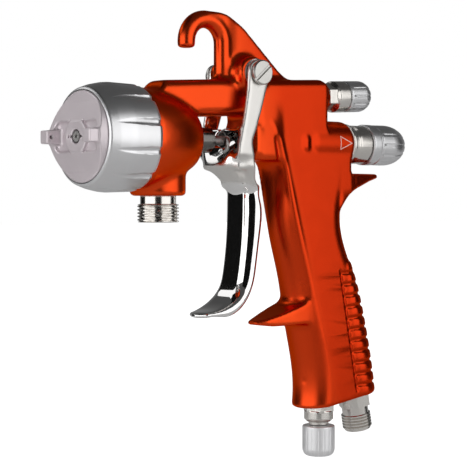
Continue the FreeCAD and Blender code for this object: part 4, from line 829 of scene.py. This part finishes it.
# ---- pieces --------------------------------------------------------------------------------------
class SPRAYGUN_OT_body(bpy.types.Operator):
    """Cast body in orange-red anodising, with soft corners between its forms"""
    bl_idname = "spray_gun.body"
    bl_label = "Cast body"

    def execute(self, context):
        sizes = context.scene.spray_gun_casting
        points, triangles = node_mesh("gun_body")
        voxel = sizes.voxel * 1.0
        field = Field(points, triangles, voxel, sizes.fillet + 1.5)
        fine = Field(points, triangles, voxel, sizes.fillet + 1.5, field.low, field.size)
        field.fillet(sizes.fillet)
        fine.fillet(sizes.fine_fillet)
        x, y, z = field.axes()
        # The grip's pads, the foot's seats and the machined bores keep their small corners.
        grip = ramp(x - 0.28 * (-90 - z), 64.0, 68.0) * ramp(-z, 84.0, 89.0)
        kept = np.maximum(grip, ramp(-z, 148.0, 151.0))
        kept = np.maximum(kept, 1 - ramp(x, -42.0, -38.0))
        kept = np.maximum(kept, ramp(x, 60.0, 63.0) * ramp(z, -58.0, -54.0))
        field.mix(fine, kept)
        # The hook's bar is a little stouter than its bent rod, down to where the web takes it up.
        field.values = field.values - HOOK_GROWTH * ramp(z, -20.0, -14.0) * (1 - ramp(x, 9.0, 16.0))
        axes = mirrored(field.axes())
        self.valve_boss(field, axes)
        field.values = carve(field.values, run(axes, GROOVE, GROOVE_RADII), 0.9)
        field.values = union(field.values, run(axes, CREST, CREST_RADII), 1.2)
        field.values = union(field.values, run(axes, BUMP, (BUMP_RADIUS, BUMP_RADIUS)), 0.8)
        # The bores are filled while the outer edges are rounded, so their thin walls stay whole.
        field.values = np.minimum(field.values, barrel(axes, *PLUG))
        field.offset(0.0)
        field.smooth(1)
        sharp = field.copy()
        sharp.round(sizes.fine_edge)
        field.round(sizes.edge)
        # The finger rest, the spur, the pads and the foot's seats are too thin for the wide radius.
        thin = np.maximum((1 - ramp(x, 46.0, 52.0)) * ramp(-z, 104.0, 108.0), ramp(x, 80.0, 84.0))
        field.mix(sharp, np.maximum(np.maximum(thin, grip), ramp(-z, 150.0, 152.0)))
        self.pads(field, axes)
        for bore in BORES:
            field.values = np.maximum(field.values, -barrel(axes, *bore))
        body = skin("body_casting", field, sizes.triangles)
        dress(body, finish("Anodised Body"))
        stand_for(body, "paint", "gun_body")
        return {"FINISHED"}

    def valve_boss(self, field, axes):
        """The air valve's boss runs out softly into the side above and behind it."""
        x, y, z = axes
        half = 9.2 + 1.4 * (1 - ramp(z, -40.0, -21.0)) * (1 - ramp(x, 30.0, 36.0))
        share = ramp(x, 21.5, 23.5) * (1 - ramp(x, 36.0, 39.0)) * ramp(-y, 7.7, 8.4)
        share = share * ramp(z, -50.0, -44.0) * (1 - ramp(z, -21.0, -19.0))
        field.values = field.values * (1 - share) + (-y - half) * share

    def pads(self, field, axes):
        """Deepens the gaps between the pads on the grip's back, and the line along the pads' front."""
        x, y, z = axes
        down = PAD_TOP_Z - z + 0.05 * (x - 76.0)
        gap = np.abs(down % PAD_PITCH - PAD_GAP)
        front = 67.6 + 9.5 * (down - PAD_GAP) / (11 * PAD_PITCH)
        passage = AIR_SEAT[0] - (z - AIR_SEAT[1]) * math.tan(math.radians(AIR_TILT))
        share = np.maximum(1 - ramp(gap, 0.45, 1.0), 1 - ramp(np.abs(x - front - 0.6), 0.3, 0.8))
        share = share * ramp(x - front, -0.5, 0.7) * ramp(down, 2.0, 3.5) * (1 - ramp(down, 56.0, 57.5))
        # The air passage's wall is left whole.
        share = share * ramp(np.sqrt((x - passage) ** 2 + y * y), 8.0, 8.6)
        field.values = field.values + PAD_GAP_DEPTH * share


class SPRAYGUN_OT_trigger(bpy.types.Operator):
    """Forged trigger: two satin arms, a saddle and a mirror-bright finger bar"""
    bl_idname = "spray_gun.trigger"
    bl_label = "Trigger"

    def execute(self, context):
        field = Field(*node_mesh("trigger"), 0.42, 6.0)
        solid = field.copy()
        solid.fillet(4.2)
        field.fillet(1.2)
        axes = field.axes()
        field.mix(solid, ramp(-axes[2], 35.0, 40.0) * (1 - ramp(-axes[2], 56.0, 60.0)))
        field.values = np.minimum(field.values, run(axes, SADDLE, (SADDLE_RADIUS, SADDLE_RADIUS)))
        self.arch(field, axes)
        field.offset(0.0)
        field.smooth(2)
        field.round(0.5)
        trigger = skin("trigger_forging", field, 150000)
        dress(trigger, finish("Trigger"))
        stand_for(trigger, "polished_steel", "trigger")
        return {"FINISHED"}

    def arch(self, field, axes):
        """Finger bar with an arched front, thin edges and a rounded toe."""
        x, y, z = axes
        bar = 1 - ramp(z, -63.0, -58.0)
        widened = field.copy()
        widened.values = field.spread(BAR_WIDENING)
        field.mix(widened, bar)
        across = np.abs(np.ravel(y)) / BAR_HALF
        front = BAR_ARCH * (1 - np.sqrt(1 - 0.74 * np.minimum(across, 1.1) ** 2)) - BAR_BULGE
        toe = 1 - ramp(z, -108.0, -98.0)
        forward = field.moved(front) * (1 - toe) + field.moved(0.3 * front) * toe
        back = field.moved(-BAR_BEVEL * ramp(across, 0.7, 1.0))
        whole = np.minimum(field.values, field.moved(np.full_like(front, -BAR_BULGE)))
        field.values = field.values * (1 - bar) + np.maximum(np.maximum(whole, forward), back) * bar
        ahead = x + 0.8
        tip = np.sqrt((ahead / 6.4) ** 2 + (y / 6.6) ** 2 + ((z + 111.5 - 0.1 * ahead) / 1.25) ** 2)
        field.values = union(field.values, (tip - 1) * 1.25, 1.0)


class SPRAYGUN_OT_cap(bpy.types.Operator):
    """Air cap: matt face, two horns, centre boss with turned rings"""
    bl_idname = "spray_gun.cap"
    bl_label = "Air cap"

    def execute(self, context):
        field = Field(*node_mesh("air_cap"), 0.2, 2.2)
        sharp = field.values.copy()
        field.fillet(0.9)
        x, y, z = field.axes()
        around = np.sqrt(y * y + (z - NEEDLE_Z) ** 2)
        kept = np.maximum(1 - ramp(around, 7.4, 8.4), ramp(x, -60.9, -60.2))
        kept = np.maximum(kept, 1 - ramp(x, -66.4, -65.2))
        field.values = field.values * (1 - kept) + sharp * kept
        field.smooth(1)
        field.round(0.3)
        cap = skin("air_cap_face", field, 150000)
        dress(cap, finish("Air Cap"))
        stand_for(cap, "cap_aluminium", "air_cap")
        return {"FINISHED"}


class SPRAYGUN_OT_ring(bpy.types.Operator):
    """Retaining ring with long flutes"""
    bl_idname = "spray_gun.ring"
    bl_label = "Retaining ring"

    def execute(self, context):
        low, high = (Vector(corner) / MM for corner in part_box("retaining_ring"))
        front, rear, radius = low.x, high.x, (high.y - low.y) / 2
        head, lip = 19.15, 18.0
        outer = [(front, lip), (front, radius - 3.2), (front + 0.5, radius - 2.3),
                 (front + 4.2, radius - 1.05), (front + 8.5, radius - 0.2), (front + 11.0, radius),
                 (rear - 1.4, radius - 0.3), (rear, radius - 0.9)]
        inner = [(rear, head), (front + 4.2, head), (front + 4.2, lip), (front, lip)]
        outline = spaced(rounded(outer + inner, 0.5), 0.5)
        ring = blank("ring_turned", outline, 576, closed=True)
        machined(ring, finish("Satin Ring"), axis_at(0, NEEDLE_Z), flutes=12, flute_depth=0.75,
                 cutter_radius=2.0, flute_start=rear - 21.0, run_in=17.0, flute_end=rear + 1.0,
                 flute_phase=math.radians(-15.0))
        stand_for(ring, "polished_aluminium", "retaining_ring")
        return {"FINISHED"}


class SPRAYGUN_OT_knobs(bpy.types.Operator):
    """Fluid, fan and flow knobs, turned and fluted"""
    bl_idname = "spray_gun.knobs"
    bl_label = "Knobs"

    def execute(self, context):
        self.knob("fluid_knob", "Satin Knob", axis_at(0, NEEDLE_Z), (90.2, 114.2), 9.1, nose=11.0, tip=2.5,
                  bore=6.5, flutes=12, cutter=1.1, depth=0.24, collar=5.0)
        self.knob("fan_knob", "Satin Knob", axis_at(0, FAN_AXIS_Z, -FAN_TILT), (78.5, 92.0), 6.9, nose=4.6,
                  tip=3.7, bore=2.1, flutes=12, cutter=0.9, depth=0.22)
        low, high = (Vector(corner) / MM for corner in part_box("flow_knob"))
        flow = axis_at((low.x + high.x) / 2, high.z, 90.0)
        self.knob("flow_knob", "Satin Foot Knob", flow, (0.0, high.z - low.z), (high.x - low.x) / 2, nose=3.4,
                  tip=4.6, bore=2.1, flutes=16, cutter=0.7, depth=0.12)
        return {"FINISHED"}

    def knob(self, node, look, axis, ends, radius, nose, tip, bore, flutes, cutter, depth, collar=0.0):
        """Knob with a rounded nose, an optional plain collar and a blind bore."""
        start, end = ends
        outline = [(start + 4.0, 0.0), (start + 4.0, bore), (start, bore), (start, radius - 0.4),
                   (start + 0.4, radius)]
        if collar:
            step = start + collar
            outline += [(step - 0.3, radius), (step, radius - 0.45), (step + 0.7, radius - 0.45),
                        (step + 1.0, radius - 0.1)]
        for part in range(13):
            angle = math.radians(90 * part / 12)
            outline.append((end - nose * (1 - math.sin(angle)),
                            radius - (radius - tip) * (1 - math.cos(angle)) - 0.001 * part))
        outline.append((end, 0.0))
        piece = blank(node + "_turned", spaced(rounded(outline, 0.25), 0.5), 288)
        machined(piece, finish(look), axis, flutes=flutes, flute_depth=depth, cutter_radius=cutter,
                 flute_start=start + (collar + 0.9 if collar else 1.0), run_in=1.2, flute_end=end + 1.0)
        stand_for(piece, "knob_aluminium", node)


class SPRAYGUN_OT_fittings(bpy.types.Operator):
    """Threaded fluid inlet"""
    bl_idname = "spray_gun.fittings"
    bl_label = "Fluid inlet"

    def execute(self, context):
        length = FLUID_SEAT_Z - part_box("fluid_inlet_nipple")[0][2] / MM
        crest, neck, root, bore, sunk = 8.33, 7.2, 6.5, 4.5, -6.8
        outline = [(sunk, root), (0.0, root), (0.0, neck), (3.2, neck), (3.5, crest), (length - 0.3, crest),
                   (length, 7.8), (length, bore), (sunk, bore), (sunk, root)]
        nipple = blank("fluid_inlet_threaded", spaced(rounded(outline, 0.15, 2), 0.12), 128, closed=True)
        machined(nipple, finish("Nickel"), axis_at(FLUID_INLET_X, FLUID_SEAT_Z, 90.0), thread_depth=0.78,
                 thread_pitch=1.337, thread_start=3.5, thread_end=length - 0.2)
        stand_for(nipple, "nickel", "fluid_inlet_nipple")
        return {"FINISHED"}


class SPRAYGUN_OT_machined(bpy.types.Operator):
    """Hexagonal housings and the pivot's screw, with broken edges"""
    bl_idname = "spray_gun.machined"
    bl_label = "Machined pieces"

    def execute(self, context):
        for node, voxel, edge, look, slot in (
                ("fan_valve_housing", 0.13, 0.22, "Nickel Housing", "nickel"),
                ("flow_valve_housing", 0.13, 0.22, "Nickel", "nickel"),
                ("needle_housing", 0.16, 0.25, "Nickel Housing", "nickel"),
                ("pivot_screw", 0.1, 0.2, "Brushed Screw", "stainless"),
                ("pivot_pin", 0.13, 0.2, "Brushed Screw", "stainless")):
            self.broken(node, voxel, edge, look, slot)
        return {"FINISHED"}

    def broken(self, node, voxel, edge, look, slot):
        """Copy of a turned node with its outer edges rounded."""
        field = Field(*node_mesh(node), voxel * (1.0), 1.2)
        field.round(edge)
        piece = skin(node + "_machined", field, 60000)
        dress(piece, finish(look))
        stand_for(piece, slot, node)


class SPRAYGUN_OT_mark(bpy.types.Operator):
    """Outlined triangle beside the fluid knob, on both sides"""
    bl_idname = "spray_gun.mark"
    bl_label = "Index mark"

    def execute(self, context):
        body = bpy.data.objects["body_casting"].data
        surface = BVHTree.FromPolygons([vertex.co for vertex in body.vertices],
                                       [face.vertices for face in body.polygons])
        half_line, parts = 0.17, 16
        corners = [Vector((68.3, 0, -37.0)), Vector((74.9, 0, -39.8)), Vector((68.3, 0, -42.6))]
        shape = bmesh.new()
        for side in (-1, 1):
            for start, end in zip(corners, corners[1:] + corners[:1]):
                along = (end - start).normalized()
                across = Vector((-along.z, 0, along.x)) * half_line
                rows = []
                for part in range(parts + 1):
                    centre = start + (end - start) * (part / parts)
                    if part in (0, parts):
                        centre = centre + along * (half_line if part else -half_line)
                    rows.append([self.laid(surface, centre + shift, side, height)
                                 for shift in (-across, across) for height in (0.05, -0.25)])
                self.bar(shape, rows)
        bmesh.ops.recalc_face_normals(shape, faces=shape.faces)
        mesh = bpy.data.meshes.new("index_mark")
        shape.to_mesh(mesh)
        shape.free()
        mark = placed("index_mark", mesh)
        dress(mark, finish("Index Mark"))
        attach(mark, body_of(frame["nodes"]["gun_body"])[0])
        return {"FINISHED"}

    def laid(self, surface, point, side, height):
        """A point of the mark, a given height over the body's side."""
        start = Vector((point.x, side * 30.0, point.z)) * MM
        place = surface.ray_cast(start, Vector((0, -side, 0)))[0]
        if place is None:
            raise RuntimeError("the index mark lies beside the body")
        return place / MM + Vector((0, side * height, 0))

    def bar(self, shape, rows):
        """Closed bar through rows of four corners."""
        order = (0, 2, 3, 1)
        rings = [[shape.verts.new(row[index] * MM) for index in order] for row in rows]
        for first, second in zip(rings, rings[1:]):
            for step in range(4):
                after = (step + 1) % 4
                shape.faces.new((first[step], second[step], second[after], first[after]))
        shape.faces.new(rings[0])
        shape.faces.new(rings[-1][::-1])


class SPRAYGUN_OT_finishes(bpy.types.Operator):
    """Finishes of the CAD nodes whose own shape is right"""
    bl_idname = "spray_gun.finishes"
    bl_label = "Other finishes"

    def execute(self, context):
        slots = {part["node"]: part["material_slot"] for part in frame["record"]["subparts"]}
        for name, node in frame["nodes"].items():
            dress(node, finish(NODE_FINISH.get(name) or SLOT_FINISH[slots[name]]))
        return {"FINISHED"}


# ---- stage ---------------------------------------------------------------------------------------
def direction(azimuth, elevation):
    """Unit vector away from the gun; azimuth 0 is towards -Y and 90 towards +X, both in degrees."""
    a, e = math.radians(azimuth), math.radians(elevation)
    return Vector((math.sin(a) * math.cos(e), -math.cos(a) * math.cos(e), math.sin(e)))


def facing(thing, place, target):
    """Puts a lamp, card or camera at a place, turned to a target."""
    thing.location = place
    thing.rotation_euler = (target - place).to_track_quat("-Z", "Y").to_euler()


def sheet(name, width, height, level=0.0):
    """Flat rectangle round the Z axis, for the stage."""
    x, y = width / 2, height / 2
    mesh = bpy.data.meshes.new(name)
    mesh.from_pydata([(-x, -y, level), (x, -y, level), (x, y, level), (-x, y, level)], [], [(0, 1, 2, 3)])
    return placed(name, mesh)


class SPRAYGUN_OT_stage(bpy.types.Operator):
    """Pale floor, soft lamps, dark cards for the metal to reflect, and the camera"""
    bl_idname = "spray_gun.stage"
    bl_label = "Stage"

    def execute(self, context):
        stage = context.scene.spray_gun_stage
        self.centre = Vector((15.5, 0.0, -78.5)) * MM
        self.camera(stage)
        self.floor(stage)
        self.world()
        self.lamp("key_box", -92, 4, 1.0, 1.35, 0.85, 1.5)
        self.lamp("side_box", 16, 12, 1.1, 1.4, 1.2, 1.2)
        self.lamp("rear_box", 212, 34, 1.3, 0.8, 0.6, 1.0)
        self.card("camera_card", -37, 4, 0.75, 0.52, 0.9)
        self.card("left_card", -152, 0, 0.85, 0.75, 0.9)
        self.card("right_card", 70, 0, 0.9, 0.5, 0.9)
        self.card("top_card", -120, 62, 0.8, 0.8, 0.5)
        context.scene.view_settings.view_transform = "Standard"
        return {"FINISHED"}

    def camera(self, stage):
        data = bpy.data.cameras.new("camera")
        data.sensor_width = 36.0
        data.lens = stage.lens
        data.clip_start = 0.01
        data.clip_end = 50.0
        camera = placed("camera", data)
        aim = Vector((15.51, 0.0, -78.53)) * MM
        away = direction(math.degrees(stage.azimuth), math.degrees(stage.elevation))
        facing(camera, aim + away * stage.distance, aim)
        bpy.context.scene.camera = camera

    def floor(self, stage):
        floor = sheet("floor", 16.0, 16.0, CAD_BOX[0].z - stage.floor_drop)
        material, make = bare("Pale Floor")
        light = make.node("ShaderNodeBsdfDiffuse", Color=(0.74, 0.74, 0.74, 1.0)).outputs[0]
        seen = make.node("ShaderNodeLightPath").outputs["Is Camera Ray"]
        distance = make.node("ShaderNodeVectorMath", {"operation": "LENGTH"}, _0=make.place()).outputs[1]
        # The paper runs out into the white background.
        strength = make.math("MULTIPLY", seen, make.range(distance, 0.3, 1.2, 0.62, 1.0))
        glow = make.node("ShaderNodeEmission", Color=(1.0, 1.0, 1.0, 1.0), Strength=strength)
        both = make.node("ShaderNodeAddShader", _0=light, _1=glow.outputs[0]).outputs[0]
        make.node("ShaderNodeOutputMaterial", Surface=both)
        dress(floor, material)
        floor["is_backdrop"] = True

    def world(self):
        world = bpy.data.worlds.new("studio")
        world.use_nodes = True
        world.node_tree.nodes.clear()
        make = Tree(world.node_tree)
        path = make.node("ShaderNodeLightPath").outputs
        up = make.parts(make.node("ShaderNodeTexCoord").outputs["Generated"])[2]
        # The camera sees white. Metal sees a room that is pale at the horizon and dim overhead.
        metal_sees = Value(make, path["Is Glossy Ray"]).most(path["Is Transmission Ray"])
        rest = (1.0 - metal_sees) * 0.35
        strength = (rest + metal_sees * make.range(up, 0.1, 0.6, 0.22, 0.07)).most(path["Is Camera Ray"])
        back = make.node("ShaderNodeBackground", Color=(1.0, 1.0, 1.0, 1.0), Strength=strength).outputs[0]
        make.node("ShaderNodeOutputWorld", Surface=back)
        bpy.context.scene.world = world

    def lamp(self, name, azimuth, elevation, distance, width, height, brightness):
        """Soft box of a given brightness, where a white card under it renders as 1."""
        data = bpy.data.lights.new(name, "AREA")
        data.shape = "RECTANGLE"
        data.size = width
        data.size_y = height
        data.energy = brightness * math.pi * width * height
        facing(placed(name, data), self.centre + direction(azimuth, elevation) * distance, self.centre)

    def card(self, name, azimuth, elevation, distance, width, height):
        """Black card that only reflections see."""
        card = sheet(name, width, height)
        facing(card, self.centre + direction(azimuth, elevation) * distance, self.centre)
        for ray in ("camera", "diffuse", "transmission", "volume_scatter", "shadow"):
            setattr(card, "visible_" + ray, False)
        material = bpy.data.materials.get("Dark Card")
        if material is None:
            material, make = bare("Dark Card")
            surface = make.node("ShaderNodeBsdfDiffuse", Color=(0.01, 0.01, 0.01, 1.0)).outputs[0]
            make.node("ShaderNodeOutputMaterial", Surface=surface)
        dress(card, material)
        card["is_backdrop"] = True


# ---- add-on --------------------------------------------------------------------------------------
PIECES = (SPRAYGUN_OT_finishes, SPRAYGUN_OT_body, SPRAYGUN_OT_trigger, SPRAYGUN_OT_ring, SPRAYGUN_OT_cap,
          SPRAYGUN_OT_knobs, SPRAYGUN_OT_fittings, SPRAYGUN_OT_machined, SPRAYGUN_OT_mark, SPRAYGUN_OT_stage)


class SPRAYGUN_PT_panel(bpy.types.Panel):
    """Sizes, colours and buttons of the spray gun's looks"""
    bl_idname = "SPRAYGUN_PT_panel"
    bl_label = "Spray Gun"
    bl_space_type = "VIEW_3D"
    bl_region_type = "UI"
    bl_category = "Spray Gun"

    def draw(self, context):
        for settings in (context.scene.spray_gun_casting, context.scene.spray_gun_finish,
                         context.scene.spray_gun_stage):
            column = self.layout.column(align=True)
            for name in settings.__annotations__:
                column.prop(settings, name)
        for piece in PIECES:
            self.layout.operator(piece.bl_idname)


CLASSES = (CastingSettings, FinishSettings, StageSettings) + PIECES + (SPRAYGUN_PT_panel,)


def register():
    for kind in CLASSES:
        bpy.utils.register_class(kind)
    bpy.types.Scene.spray_gun_casting = PointerProperty(type=CastingSettings)
    bpy.types.Scene.spray_gun_finish = PointerProperty(type=FinishSettings)
    bpy.types.Scene.spray_gun_stage = PointerProperty(type=StageSettings)


def unregister():
    del bpy.types.Scene.spray_gun_stage
    del bpy.types.Scene.spray_gun_finish
    del bpy.types.Scene.spray_gun_casting
    for kind in reversed(CLASSES):
        bpy.utils.unregister_class(kind)


def main():
    register()
    for piece in PIECES:
        group, name = piece.bl_idname.split(".")
        getattr(getattr(bpy.ops, group), name)()
    boxes = {"cad": CAD_BOX, "visual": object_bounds()}
    boxes = {name: [list(corner) for corner in box] for name, box in boxes.items()}


if __name__ == "__main__":
    main()
